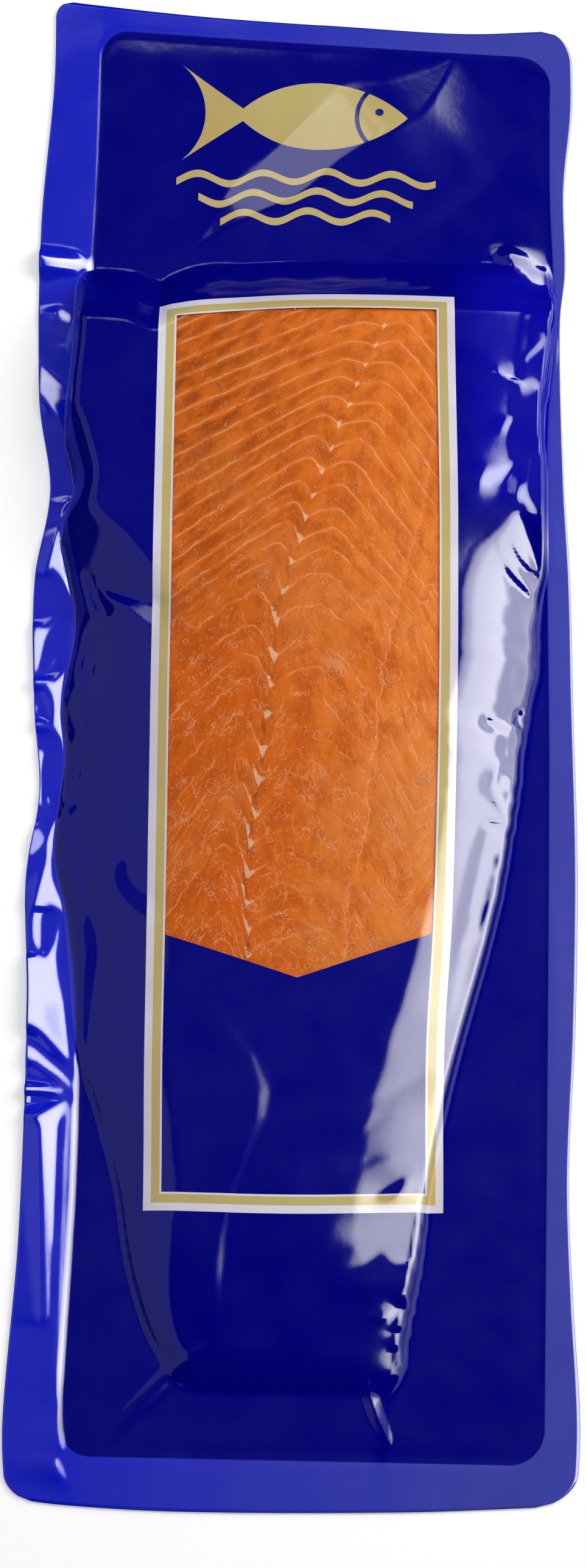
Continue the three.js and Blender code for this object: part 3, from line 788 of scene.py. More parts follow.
def printed_film_material(settings):
    """Gravure-printed polyester film, gloss side out: deep blue ink in the panel, paler where
    the weld backs it, a silver, gold and white frame, and a gold device over it."""
    material, add = new_material("printed_film")
    uv = add("UVMap", uv_map="print")
    flat = add("SeparateXYZ", uv)
    u = add("MULTIPLY_ADD", flat.outputs["X"], PRINT_SPAN, -PRINT_SPAN / 2)
    v = add("MULTIPLY_ADD", flat.outputs["Y"], PRINT_SPAN, -PRINT_SPAN / 2)

    def rectangle(low_u, high_u, low_v, high_v, radius):
        """Distance inside a rectangle with round corners."""
        qx = add("ABSOLUTE", add("SUBTRACT", u, (low_u + high_u) / 2))
        qx = add("SUBTRACT", qx, (high_u - low_u) / 2 - radius)
        qy = add("ABSOLUTE", add("SUBTRACT", v, (low_v + high_v) / 2))
        qy = add("SUBTRACT", qy, (high_v - low_v) / 2 - radius)
        out_x = add("MAXIMUM", qx, 0.0)
        out_y = add("MAXIMUM", qy, 0.0)
        square = add("MULTIPLY_ADD", out_x, out_x, add("MULTIPLY", out_y, out_y))
        within = add("MINIMUM", add("MAXIMUM", qx, qy), 0.0)
        return add("SUBTRACT", radius, add("ADD", add("SQRT", square), within))

    panel = rectangle(PRINT_ACROSS[1], PRINT_ACROSS[4], PRINT_ALONG[1], PRINT_ALONG[4], 13.0)
    edge = rectangle(PRINT_ACROSS[2], PRINT_ACROSS[3], PRINT_ALONG[2], PRINT_ALONG[3], 0.01)

    place = add("TexCoord").outputs["Object"]
    cloud = add("TexNoise", Vector=place, Scale=18.0, Detail=3.0)
    grain = add("TexNoise", Vector=place, Scale=900.0, Detail=2.0)
    thin_ink = add("MULTIPLY", add("step", grain, 0.35, 0.75), 0.35)
    ink = add("mix", thin_ink, settings.ink, settings.ink_light)
    weld = add("mix", add("step", u, -100.0, 95.0), settings.weld, settings.weld_light)
    cloudy = add("MULTIPLY_ADD", add("step", u, -92.0, -60.0), 0.2, 0.08)
    cloudy = add("MULTIPLY", add("step", cloud, 0.35, 0.7), cloudy)
    weld = add("mix", cloudy, weld, settings.weld_light)
    # Painted light: the ink is lighter at the right of the head end, where the key light falls on the film
    lit_by_key = add("MULTIPLY", add("step", u, 50.0, 72.0), add("step", v, 70.0, 95.0))
    lit_by_key = add("MULTIPLY", lit_by_key, add("step", v, 200.0, 175.0))
    ink = add("mix", lit_by_key, ink, settings.ink_lit_by_key)
    blue = add("mix", add("step", panel, -0.25, 0.25), weld, ink)

    silver = add("mix", add("step", cloud, 0.3, 0.7), settings.silver, settings.silver_light)
    gold = add("mix", add("step", cloud, 0.3, 0.7), settings.gold, settings.gold_light)
    soft = 0.06
    colour = add("mix", add("step", edge, -soft, soft), blue, silver)
    colour = add("mix", add("step", edge, BAND_SILVER - soft, BAND_SILVER + soft), colour, gold)
    line = BAND_SILVER + BAND_GOLD
    colour = add("mix", add("step", edge, line - soft, line + soft), colour, silver)
    colour = add("mix", add("step", edge, WINDOW_INSET - soft, WINDOW_INSET + soft), colour, ink)

    # Device: a plain fish, from two arcs for the body and two for the tail, over three waves
    def disc(centre_u, centre_v, radius):
        """Distance inside a disc."""
        du = add("SUBTRACT", u, centre_u)
        dv = add("SUBTRACT", v, centre_v)
        square = add("MULTIPLY_ADD", du, du, add("MULTIPLY", dv, dv))
        return add("SUBTRACT", radius, add("SQRT", square))

    fish_u, fish_v = DEVICE_PLACE
    body = add("MINIMUM", disc(fish_u + 6, fish_v - 32, 47), disc(fish_u + 6, fish_v + 32, 47))
    behind = add("SUBTRACT", fish_u - 22, u)
    spread = add("ABSOLUTE", add("SUBTRACT", v, fish_v))
    tail = add("MULTIPLY_ADD", behind, 0.55, add("MULTIPLY", spread, -0.8))
    tail = add("MINIMUM", tail, add("MULTIPLY", disc(fish_u - 66, fish_v, 25), -1.0))
    tail = add("MINIMUM", tail, add("SUBTRACT", 31.0, behind))
    gill = add("SUBTRACT", add("ABSOLUTE", disc(fish_u + 38, fish_v, 18)), 0.9)
    eye = add("MULTIPLY", disc(fish_u + 29, fish_v + 2.5, 1.7), -1.0)
    fish = add("MINIMUM", add("MINIMUM", body, gill), eye)
    device = add("MAXIMUM", fish, tail)
    for row in range(3):
        swing = add("SINE", add("MULTIPLY_ADD", u, 2 * math.pi / WAVE_LENGTH, 0.9 * row))
        middle = add("MULTIPLY_ADD", swing, 2.2, fish_v - 27 - 8.5 * row)
        wave = add("SUBTRACT", 1.5, add("ABSOLUTE", add("SUBTRACT", v, middle)))
        reach = add("SUBTRACT", 52.0 - 9 * row, add("ABSOLUTE", add("SUBTRACT", u, fish_u)))
        device = add("MAXIMUM", device, add("MINIMUM", wave, reach))
    colour = add("mix", add("step", device, -soft, soft), colour, gold)

    smear = add("TexNoise", Vector=place, Scale=60.0, Detail=2.0)
    rough = add("MULTIPLY_ADD", smear, 0.08, settings.film_roughness - 0.03)
    rough = add("ADD", rough, add("MULTIPLY", add("step", panel, 0.5, -0.5), 0.03))
    ripple = add("TexNoise", Vector=place, Scale=260.0, Detail=2.0)
    bump = add("Bump", Strength=0.12, Distance=0.0002, Height=ripple)
    sheen = add("Attribute", attribute_name="sheen").outputs["Fac"]
    gloss = add("MULTIPLY", add("MULTIPLY_ADD", add("step", u, -88.0, -91.0), 0.5, 0.5), sheen)
    shader = add(
        "BsdfPrincipled", Base_Color=colour, Roughness=rough, IOR=1.58, Specular_IOR_Level=gloss,
        Normal=bump,
    )
    add("OutputMaterial", Surface=shader)
    return material


def back_film_material(settings):
    """Plain side of the same polyester film, over the whole back."""
    material, add = new_material("back_film")
    place = add("TexCoord").outputs["Object"]
    cloud = add("TexNoise", Vector=place, Scale=22.0, Detail=3.0)
    colour = add("mix", add("step", cloud, 0.3, 0.7), settings.ink, settings.weld)
    shader = add("BsdfPrincipled", Base_Color=colour, Roughness=0.16, IOR=1.55)
    add("OutputMaterial", Surface=shader)
    return material


def clear_film_material(settings):
    """Clear polyester and polyethylene laminate drawn onto the wet flesh: only its gloss shows."""
    material, add = new_material("clear_film")
    place = add("TexCoord").outputs["Object"]
    ripple = add("TexNoise", Vector=place, Scale=160.0, Detail=2.0)
    bump = add("Bump", Strength=0.1, Distance=0.0002, Height=ripple)
    fresnel = add("Fresnel", IOR=1.5, Normal=bump)
    clear = add("BsdfTransparent", Color=(0.985, 0.985, 0.985, 1))
    gloss = add("BsdfAnisotropic", Color=(1, 1, 1, 1), Roughness=settings.film_roughness, Normal=bump)
    outer = add("NewGeometry").outputs["Backfacing"]
    share = add("MULTIPLY", fresnel, add("SUBTRACT", 1.0, outer))
    mixed = add("MixShader", share, clear, gloss)
    add("OutputMaterial", Surface=mixed)
    return material


# Flesh. The lateral line runs down the side, and each pale band is one sheet of connective
# tissue: it starts on the lateral line, peaks to its left and humps to its right, and the
# bands on the right end in a second line, the valley. Knots are (y, value).
LATERAL = (
    (200, 42), (156, 27), (123, 14.6), (105, 7.6), (86, 0.8), (66, -4), (48, -9.5), (34, -12.3),
    (9, -13.3), (-12, -15.9), (-40, -18.5), (-64, -21), (-84, -20.5), (-150, -18), (-250, -12),
)
VALLEY = (
    (200, 66), (150, 58), (101, 47.9), (81, 44.9), (65, 40.9), (50, 36.8), (27, 32), (5, 29.6),
    (-24, 27), (-54, 23.5), (-73, 18.6), (-92, 18.2), (-250, 8),
)
BAND_COUNT = (
    (200, -5.2), (156.2, 0), (123.2, 4), (86.1, 8), (47.9, 12), (21.2, 14), (-2.9, 16),
    (-28.1, 18), (-51.8, 20), (-74.7, 22), (-94.1, 24), (-250, 40),
)
PEAK_AWAY = ((150, 8), (105, 5.2), (76, 4.5), (57, 5.2), (34, 7.6), (0, 9), (-60, 8.5), (-94, 10))
PEAK_HIGH = ((150, 1), (105, 5.2), (76, 6), (57, 9), (34, 12), (0, 14), (-40, 15), (-64, 22), (-94, 25))
PEAK_FALL = ((150, 0.48), (105, 0.7), (76, 0.76), (45, 0.75), (25, 0.9), (0, 1.1), (-40, 1.35), (-94, 1.9))
HUMP_AWAY = ((156, 8), (113, 11), (76, 11.5), (48, 15), (0, 16), (-94, 16))
HUMP_HIGH = (
    (156, 1.8), (123, 1.6), (105, 4.4), (76, 4.3), (57, 7), (21, 8), (-12, 11), (-40, 8.5), (-94, 8),
)
HUMP_FALL = ((156, 1.4), (105, 1.45), (57, 1.1), (0, 1.1), (-30, 0.75), (-94, 0.7))


def band_rise(away, start):
    """How far a band has climbed, this far from the lateral line, for a band that starts there."""
    left, right = np.maximum(-away, 0), np.maximum(away, 0)

    def arch(distance, reach, high, fall, soft):
        past = np.maximum(distance - reach, 0)
        return high * np.sin(np.pi / 2 * np.clip(distance / reach, 0, 1)) - fall * past**2 / (past + soft)

    rise = np.where(
        away < 0,
        arch(left, through(PEAK_AWAY, start), through(PEAK_HIGH, start), through(PEAK_FALL, start), 6),
        arch(right, through(HUMP_AWAY, start), through(HUMP_HIGH, start), through(HUMP_FALL, start), 4),
    )
    past = away - (through(VALLEY, start) - through(LATERAL, start))
    beyond = 7 * ramp(past, 0, 2) - 0.9 * np.maximum(past, 0) + 3.2 * np.maximum(past - 13, 0) ** 1.2 * 0.5
    return rise + np.where(past > 0, beyond, 0)


def flesh_fields(x, y):
    """Number of bands passed, their spacing, and distances from the lateral line and valley."""
    start = y + 0.0
    for _ in range(40):
        start = start * 0.5 + 0.5 * (y - band_rise(x - through(LATERAL, start), start))
    return through(BAND_COUNT, start), x - through(LATERAL, y), x - through(VALLEY, y)


def flesh_material(settings):
    """Cold-smoked salmon cut open: moist translucent muscle in thin layers, with pale sheets of
    connective tissue between them and drops of oil under the film."""
    material, add = new_material("smoked_salmon")
    place = add("TexCoord").outputs["Object"]
    fields = ("band", "gap", "side", "valley")
    band, gap, side, valley = (add("Attribute", attribute_name=field).outputs["Fac"] for field in fields)

    spot = add("SeparateXYZ", place)
    head = add("step", spot.outputs["Y"], -0.02, 0.13)
    east = add("step", spot.outputs["X"], -0.05, 0.045)

    wander = add("TexNoise", Vector=place, Scale=130.0, Detail=4.0)
    drift = add("SUBTRACT", wander, 0.5)
    low = add("SUBTRACT", 1.0, head)
    jag = add("MULTIPLY", drift, add("MULTIPLY_ADD", low, 0.5, 0.3))
    share = add("FRACT", add("ADD", jag, band))
    nearest = add("MINIMUM", share, add("SUBTRACT", 1.0, share))
    away = add("MULTIPLY", nearest, gap)

    # Each sheet of tissue is a thin crisp line in a wider soft one, and both are broken up
    breakup = add("TexNoise", Vector=place, Scale=260.0, Detail=4.0, Roughness=0.65)
    patch = add("TexNoise", Vector=place, Scale=45.0, Detail=3.0)
    crisp = add("step", add("MULTIPLY_ADD", breakup, -0.7, away), 0.12, -0.25)
    soft = add("step", add("MULTIPLY_ADD", patch, -1.4, away), 1.1, -0.5)
    tear = add("TexNoise", Vector=place, Scale=110.0, Detail=3.0, Roughness=0.6)
    tear = add("SUBTRACT", tear, add("MULTIPLY", low, 0.09))
    crisp = add("MULTIPLY", crisp, add("step", tear, 0.34, 0.56))
    soft = add("MULTIPLY", soft, add("MULTIPLY_ADD", head, 0.4, 0.1))
    lines = add("MULTIPLY", crisp, add("MULTIPLY_ADD", head, 0.1, 0.55))

    # Thin short lines between them, like hair, more of them towards the tail
    sub = add("MULTIPLY_ADD", add("MULTIPLY", drift, 3.4), 1.0, add("MULTIPLY", band, 3.0))
    sub = add("FRACT", sub)
    sub = add("MULTIPLY", add("MINIMUM", sub, add("SUBTRACT", 1.0, sub)), gap)
    hair = add("step", sub, 0.5, 0.1)
    hair = add("MULTIPLY", hair, add("step", breakup, 0.52, 0.7))
    hair = add("MULTIPLY", hair, add("MULTIPLY_ADD", low, 0.55, 0.12))

    grain = add("CombineXYZ", X=add("MULTIPLY", side, 2.6), Y=add("MULTIPLY", band, 0.9))
    fibre = add("TexNoise", Vector=grain, Scale=1.0, Detail=3.0)
    cloud = add("CombineXYZ", X=add("MULTIPLY", side, 0.11), Y=add("MULTIPLY", band, 0.9))
    mottle = add("TexNoise", Vector=cloud, Scale=1.0, Detail=5.0, Roughness=0.65)
    bloom = add("TexNoise", Vector=place, Scale=28.0, Detail=4.0)
    speckle = add("TexNoise", Vector=place, Scale=700.0, Detail=3.0)

    # The deep tone is darker towards the head end
    deep = add("mix", add("MULTIPLY", low, 0.6), settings.flesh_dark, settings.flesh_rich)
    deep = add("mix", east, deep, settings.flesh)
    pale = add("mix", east, settings.flesh, settings.flesh_light)
    colour = add("mix", add("step", mottle, 0.38, 0.62), deep, pale)
    belly = add("step", spot.outputs["X"], 0.012, 0.052)
    belly = add("MULTIPLY", belly, add("MULTIPLY_ADD", low, 0.5, 0.05))
    colour = add("mix", add("MULTIPLY", belly, add("step", mottle, 0.3, 0.6)), colour, settings.flesh_belly)
    milky = add("MULTIPLY", add("step", bloom, 0.48, 0.66), add("MULTIPLY_ADD", low, 0.38, 0.15))
    colour = add("mix", milky, colour, settings.flesh_bloom)
    rich = add("MULTIPLY", add("step", bloom, 0.46, 0.32), add("MULTIPLY_ADD", low, 0.6, 0.2))
    colour = add("mix", rich, colour, settings.flesh_rich)
    fine = add("MULTIPLY", add("step", fibre, 0.42, 0.75), 0.14)
    colour = add("mix", fine, colour, settings.flesh_light)
    fine = add("MULTIPLY", add("step", speckle, 0.5, 0.72), 0.25)
    colour = add("mix", fine, colour, settings.flesh_light)
    colour = add("mix", soft, colour, settings.flesh_light)

    # Lacy rims of flattened bubbles and torn tissue, drawn out along the bands: pale torn tissue, and
    # painted highlights along the bubbles' rims
    frayed = add("TexNoise", Vector=place, Scale=320.0, Detail=3.0)
    sway = add("MULTIPLY_ADD", frayed, 0.16, add("MULTIPLY", drift, 0.9))
    for size, shift in ((1.0, 0.0), (2.3, 5.0)):
        mesh = add(
            "CombineXYZ", X=add("MULTIPLY_ADD", side, 0.15 * size, sway),
            Y=add("MULTIPLY_ADD", band, 1.5 * size, sway), Z=shift,
        )
        edge = add("TexVoronoi", feature="DISTANCE_TO_EDGE", Vector=mesh, Scale=1.0)
        lace = add("step", edge, 0.032 * size, 0.008 * size)
        where = add("TexNoise", Vector=place, Scale=70.0 * size, Detail=2.0)
        lace = add("MULTIPLY", lace, add("step", where, 0.5, 0.62))
        lace = add("MULTIPLY", lace, add("MULTIPLY_ADD", low, 0.3, 0.1))
        colour = add("mix", lace, colour, settings.tissue)
    colour = add("mix", add("MAXIMUM", lines, hair), colour, settings.tissue)

    # The valley is a ragged redder groove with pale threads along it
    ragged = add("MULTIPLY_ADD", drift, 9.0, valley)
    groove = add("step", add("ABSOLUTE", ragged), 1.5, 0.3)
    groove = add("MULTIPLY", groove, add("step", tear, 0.4, 0.55))
    colour = add("mix", add("MULTIPLY", groove, 0.45), colour, settings.groove)
    thread = add("ABSOLUTE", add("ADD", ragged, 0.9))
    thread = add("step", thread, 0.4, 0.1)
    colour = add("mix", add("MULTIPLY", thread, add("MULTIPLY", low, 0.5)), colour, settings.tissue)

    # Pale knots where each sheet meets the lateral line, with dark gaps between
    offset = add("MULTIPLY_ADD", drift, 7.0, side)
    line = add("step", add("ABSOLUTE", offset), 1.3, 0.2)
    line = add("MULTIPLY", line, add("MULTIPLY", low, add("step", breakup, 0.4, 0.6)))
    colour = add("mix", add("MULTIPLY", line, 0.7), colour, settings.gap)
    slim = add("MULTIPLY_ADD", head, 0.9, 0.8)
    reach = add("MULTIPLY", add("ABSOLUTE", offset), slim)
    reach = add("MULTIPLY_ADD", nearest, 9.0, reach)
    knot = add("step", add("MULTIPLY_ADD", breakup, -5.4, reach), -0.5, -1.6)
    colour = add("mix", add("MULTIPLY", knot, 0.68), colour, settings.knot)

    # Milky crumbs of curd, most of them towards the tail
    curd = add("TexNoise", Vector=place, Scale=210.0, Detail=5.0, Roughness=0.7)
    curd = add("MULTIPLY", add("step", curd, 0.62, 0.7), add("MULTIPLY_ADD", low, 0.35, 0.12))
    colour = add("mix", curd, colour, settings.tissue)

    relief = add("MULTIPLY_ADD", lines, 0.5, add("MULTIPLY", speckle, 0.5))
    bump = add("Bump", Strength=0.35, Distance=0.0005, Height=relief)
    shader = add(
        "BsdfPrincipled", Base_Color=colour, Roughness=0.4, IOR=1.4, Specular_IOR_Level=0.12,
        Normal=bump,
    )
    add("OutputMaterial", Surface=shader)
    return material


def paint(name, description, colour):
    """A colour of the pack that a user would change."""
    return FloatVectorProperty(
        name=name, description=description, default=linear(colour), subtype="COLOR", size=4, min=0, max=1,
    )


def length(name, description, default):
    """A size of the pack that a user would change, in metres."""
    return FloatProperty(name=name, description=description, default=default, unit="LENGTH", min=0.0)


class PackSettings(bpy.types.PropertyGroup):
    """Sizes, colours and finish of the pack."""

    ink: paint("Ink", "Blue print of the panel", "#00007e")
    ink_light: paint("Ink, light", "Blue print where it is thin", "#050592")
    # Painted light: a lighter copy of the ink for the right of the head end, where the key light falls
    ink_lit_by_key: paint("Ink, lit by key", "Ink painted lighter where the key light falls", "#0805a8")
    weld: paint("Weld", "Blue of the welded rim", "#0316d0")
    weld_light: paint("Weld, light", "Hazy parts of the rim", "#3e44ae")
    silver: paint("Silver", "Outer band of the frame", "#d6d0dc")
    silver_light: paint("Silver, light", "Outer band where it is brightest", "#e8e4ee")
    gold: paint("Gold", "Gold of the frame and the device", "#c2aa6a")
    gold_light: paint("Gold, light", "Gold where it is brightest", "#c8b878")
    flesh: paint("Flesh", "Main colour of the fish", "#cf5e06")
    flesh_dark: paint("Flesh, dark", "Flesh darker towards the head end", "#963e00")
    flesh_light: paint("Flesh, light", "Fatty muscle", "#ec7a1c")
    flesh_belly: paint("Flesh, belly", "Palest muscle", "#ee903e")
    flesh_bloom: paint("Flesh, bloom", "Oily film", "#de823a")
    flesh_rich: paint("Flesh, rich", "Clear deep orange", "#d65a04")
    tissue: paint("Tissue", "Pale bands", "#f0a46e")
    knot: paint("Knots", "Pale knots on the lateral line", "#f4c6a0")
    gap: paint("Gaps", "Dark gaps on the lateral line", "#8e3a06")
    groove: paint("Groove", "Redder second line", "#d0551c")
    film_roughness: FloatProperty(
        name="Film roughness", description="How soft its gloss is", subtype="FACTOR",
        default=0.1, min=0, max=1,
    )
    film_thickness: length("Film thickness", "Film at the edges, drawn about twice its thickness", 0.0003)
    bubble_radius: length("Bubble radius", "Typical small bubble under the film", 0.0008)
    wide_bubble_radius: length("Wide bubble radius", "Typical wide bubble under the film", 0.0024)
    crumb_radius: length("Crumb radius", "Typical crumb of fat or curd", 0.00045)


def look():
    """The pack's settings in the open scene."""
    return bpy.context.scene.salmon_pack


SHEET = Sheet()


def scatter_tree(name, ring):
    """Geometry nodes that strew rings or crumbs over a mesh, more of them towards -Y."""
    tree = bpy.data.node_groups.new(name, "GeometryNodeTree")
    socket = tree.interface.new_socket
    socket("Geometry", in_out="INPUT", socket_type="NodeSocketGeometry")
    kinds = {"Density": "Float", "Radius": "Float", "Wall": "Float", "Seed": "Int", "Material": "Material"}
    for label, kind in kinds.items():
        socket(label, in_out="INPUT", socket_type="NodeSocket" + kind)
    socket("Geometry", in_out="OUTPUT", socket_type="NodeSocketGeometry")
    add = node_adder(tree)
    given = add("NodeGroupInput").outputs

    spot = add("SeparateXYZ", add("GeometryNodeInputPosition"))
    thin = add("MapRange", spot.outputs["Y"], -0.1, 0.16, 1.0, 0.12)
    density = add("MULTIPLY", thin, given["Density"])
    points = add(
        "GeometryNodeDistributePointsOnFaces", Mesh=given["Geometry"], Density=density, Seed=given["Seed"],
    )
    if ring:
        circle = add("GeometryNodeCurvePrimitiveCircle", Resolution=14, Radius=1.0)
        profile = add("GeometryNodeCurvePrimitiveCircle", Resolution=5, Radius=given["Wall"])
        shape = add("GeometryNodeCurveToMesh", Curve=circle, Profile_Curve=profile)
        low, high = (0.45, 0.45, 0.3), (1.5, 1.4, 0.5)
    else:
        shape = add("GeometryNodeMeshIcoSphere", Radius=1.0, Subdivisions=1)
        low, high = (0.3, 0.3, 0.12), (1.6, 1.0, 0.3)
    varied = {"data_type": "FLOAT_VECTOR", "Seed": given["Seed"]}
    size = add("FunctionNodeRandomValue", low, high, **varied)
    scale = add("VectorMath", size, operation="SCALE", Scale=given["Radius"])
    turn = add("FunctionNodeRandomValue", (0, 0, 0), (0, 0, 6.28), **varied)
    placed = add("GeometryNodeInstanceOnPoints", Points=points, Instance=shape, Rotation=turn, Scale=scale)
    real = add("GeometryNodeRealizeInstances", placed)
    painted = add("GeometryNodeSetMaterial", Geometry=real, Material=given["Material"])
    add("NodeGroupOutput", painted)
    return tree


def strewn(name, tree, bed, values, material):
    """The mesh that a scatter tree makes over a bed, as a new object."""
    values = {**values, "Material": material}
    holder = in_scene(name + "_bed", bed)
    modifier = holder.modifiers.new("scatter", "NODES")
    modifier.node_group = tree
    for item in tree.interface.items_tree:
        if item.in_out == "INPUT" and item.name in values:
            modifier[item.identifier] = values[item.name]
    seen = holder.evaluated_get(bpy.context.evaluated_depsgraph_get())
    mesh = bpy.data.meshes.new_from_object(seen)
    mesh.name = name
    holder.modifiers.remove(modifier)
    bpy.data.objects.remove(holder)
    return in_scene(name, mesh)


def bubble_rim_glint_material(settings):
    """Rims of the air and oil bubbles pressed flat under the film, in a pale colour that paints the
    highlight along each rim.
    """
    material, add = new_material("bubble_rims_painted_glint")
    clear = add("BsdfTransparent", Color=(1, 1, 1, 1))
    # Painted highlight: the rims take the pale colour of the knots
    film = add("BsdfPrincipled", Base_Color=settings.knot, Roughness=0.3)
    mixed = add("MixShader", 0.3, clear, film)
    add("OutputMaterial", Surface=mixed)
    return material


def fat_speck_glint_material(settings):
    """Crumbs of milky curd and white fat that cling to the flesh; their pale colour also paints the glints
    on drops of fat.
    """
    material, add = new_material("fat_crumbs_painted_glint")
    clear = add("BsdfTransparent", Color=(1, 1, 1, 1))
    # Painted highlight: the pale tissue colour also stands in for glints on drops of fat
    fat = add("BsdfPrincipled", Base_Color=settings.tissue, Roughness=0.35)
    mixed = add("MixShader", 0.55, clear, fat)
    add("OutputMaterial", Surface=mixed)
    return material


class PACK_OT_pouch(bpy.types.Operator):
    """Makes the printed front web, with its opening, and the back web that it is welded to"""

    bl_idname = "salmon_pack.pouch"
    bl_label = "Printed pouch"

    def execute(self, context):
        film = look().film_thickness / MM
        rows, columns = SHEET.u.shape
        top = in_rows(SHEET.x, SHEET.y, SHEET.z)
        low = np.maximum(SHEET.lift - 0.3, 0)
        edge = border(rows, columns)
        hem = top[edge].copy()
        hem[:, 2] = low.ravel()[edge] + film
        sheen = np.append(SHEET.sheen, SHEET.sheen.ravel()[edge])
        front = make_mesh(
            "front_web", np.concatenate([top, hem]),
            list(grid_quads(rows, columns, ~SHEET.window)) + skirt(edge, len(top)),
            np.concatenate([SHEET.print_map, SHEET.print_map[edge]]), {"sheen": sheen},
        )
        front.data.materials.append(printed_film_material(look()))

        # The back web is as flat as the floor, so every fourth point is enough
        pick = np.ix_(*(np.unique(np.append(np.arange(0, n, 4), n - 1)) for n in (rows, columns)))
        x, y, z = SHEET.x[pick], SHEET.y[pick], low[pick]
        quads, ring, count = grid_quads(*x.shape), border(*x.shape), x.size
        walls = [[a, b, b + count, a + count] for a, b in zip(ring, np.roll(ring, -1))]
        faces = list(quads + count) + [quad[::-1] for quad in quads] + walls
        back = make_mesh("back_web", np.concatenate([in_rows(x, y, z), in_rows(x, y, z + film)]), faces)
        back.data.materials.append(back_film_material(look()))
        for piece in (front, back):
            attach(piece, "root")
            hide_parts("pouch")
        return {"FINISHED"}


class PACK_OT_window(bpy.types.Operator):
    """Makes the clear stretch of the front web over the fish"""

    bl_idname = "salmon_pack.window"
    bl_label = "Clear window"

    def execute(self, context):
        quads = grid_quads(*SHEET.u.shape, SHEET.window)
        film = make_mesh("clear_window", in_rows(SHEET.x, SHEET.y, SHEET.z), quads, SHEET.print_map)
        film.data.materials.append(clear_film_material(look()))
        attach(film, "root")
        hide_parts("window_film")
        return {"FINISHED"}


class PACK_OT_fish(bpy.types.Operator):
    """Makes the side of salmon under the film"""

    bl_idname = "salmon_pack.fish"
    bl_label = "Side of salmon"

    def execute(self, context):
        along = np.linspace(-246, 178, 322)
        share = np.linspace(-1, 1, 122)
        y, s = np.meshgrid(along, share, indexing="ij")
        left, right = through(BULGE_LEFT, y) + 9, through(BULGE_RIGHT, y) - 9
        ends = corner(26, y - along[0]) * 0.8 + corner(22, along[-1] - y) * 0.8
        x = (left + right) / 2 + s * ((right - left) / 2 - ends)
        band, side, valley = flesh_fields(x, y)
        dy, dx = np.gradient(y, axis=0), np.gradient(x, axis=1)
        across = np.gradient(band, axis=1) / dx
        down = (np.gradient(band, axis=0) - across * np.gradient(x, axis=0)) / dy
        gap = np.minimum(1 / np.maximum(np.hypot(across, down), 0.02), 16)
        layer = np.abs((band + 0.5) % 1 - 0.5)
        relief = -0.22 * np.exp(-((layer * gap / 0.8) ** 2)) + 0.12 * noise(x, y, 5, 11)
        relief = relief - 0.25 * np.exp(-((valley / 1.6) ** 2))
        wall = 3 * ramp(np.maximum(np.abs(s), np.abs(2 * (y - along[0]) / np.ptp(along) - 1)), 0.9, 1.0)
        top = in_rows(x, y, np.maximum(SHEET.height_at(x, y) - UNDER_FILM + relief - wall, FISH_EDGE))
        edge = border(*x.shape)
        hem = top[edge].copy()
        hem[:, 2] = FISH_UNDERSIDE
        underside = [list(range(len(top) + len(edge) - 1, len(top) - 1, -1))]
        faces = list(grid_quads(*x.shape)) + skirt(edge, len(top)) + underside
        fields = {"band": band, "gap": gap, "side": side, "valley": valley}
        fields = {name: np.append(value, value.ravel()[edge]) for name, value in fields.items()}
        uv = np.concatenate([top, hem])[:, :2] / PRINT_SPAN + 0.5
        fish = make_mesh("salmon", np.concatenate([top, hem]), faces, uv, fields)
        fish.data.materials.append(flesh_material(look()))
        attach(fish, "root")
        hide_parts("salmon_side")
        return {"FINISHED"}


class PACK_OT_bubbles(bpy.types.Operator):
    """Makes the bubbles of air and oil and the crumbs of fat between the flesh and the film, whose pale
    colour also paints highlights on the bubbles' rims and glints on drops of fat
    """

    bl_idname = "salmon_pack.bubbles"
    bl_label = "Bubbles and crumbs"

    def execute(self, context):
        bed_points = in_rows(SHEET.x, SHEET.y, SHEET.z - BUBBLE_DEPTH)
        bed = make_mesh("bed", bed_points, grid_quads(*SHEET.u.shape, SHEET.window))
        settings, oil = look(), bubble_rim_glint_material(look())
        rings, crumbs = scatter_tree("bubbles", True), scatter_tree("crumbs", False)
        small = {"Density": 17000.0, "Radius": settings.bubble_radius, "Wall": 0.13, "Seed": 7}
        wide = {"Density": 1500.0, "Radius": settings.wide_bubble_radius, "Wall": 0.05, "Seed": 3}
        grains = {"Density": 42000.0, "Radius": settings.crumb_radius, "Seed": 11}
        pieces = (
            strewn("bubbles", rings, bed.data, small, oil),
            strewn("wide_bubbles", rings, bed.data, wide, oil),
            strewn("crumbs", crumbs, bed.data, grains, fat_speck_glint_material(settings)),
        )
        bpy.data.objects.remove(bed)
        for piece in pieces:
            if not piece.data.polygons:
                raise RuntimeError("the scatter made nothing for " + piece.name)
            piece.data.shade_smooth()
            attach(piece, "root")
            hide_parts("salmon_side")
        return {"FINISHED"}


def area_light(name, place, size, radiance):
    """A square soft light that only matt surfaces see, aimed at the pack."""
    data = bpy.data.lights.new(name, "AREA")
    data.size = size
    data.energy = radiance * math.pi * size**2
    light = in_scene(name, data)
    light.location = place
    light.rotation_euler = (-Vector(place)).to_track_quat("-Z", "Y").to_euler()
    light.visible_camera = False
    light.visible_glossy = False


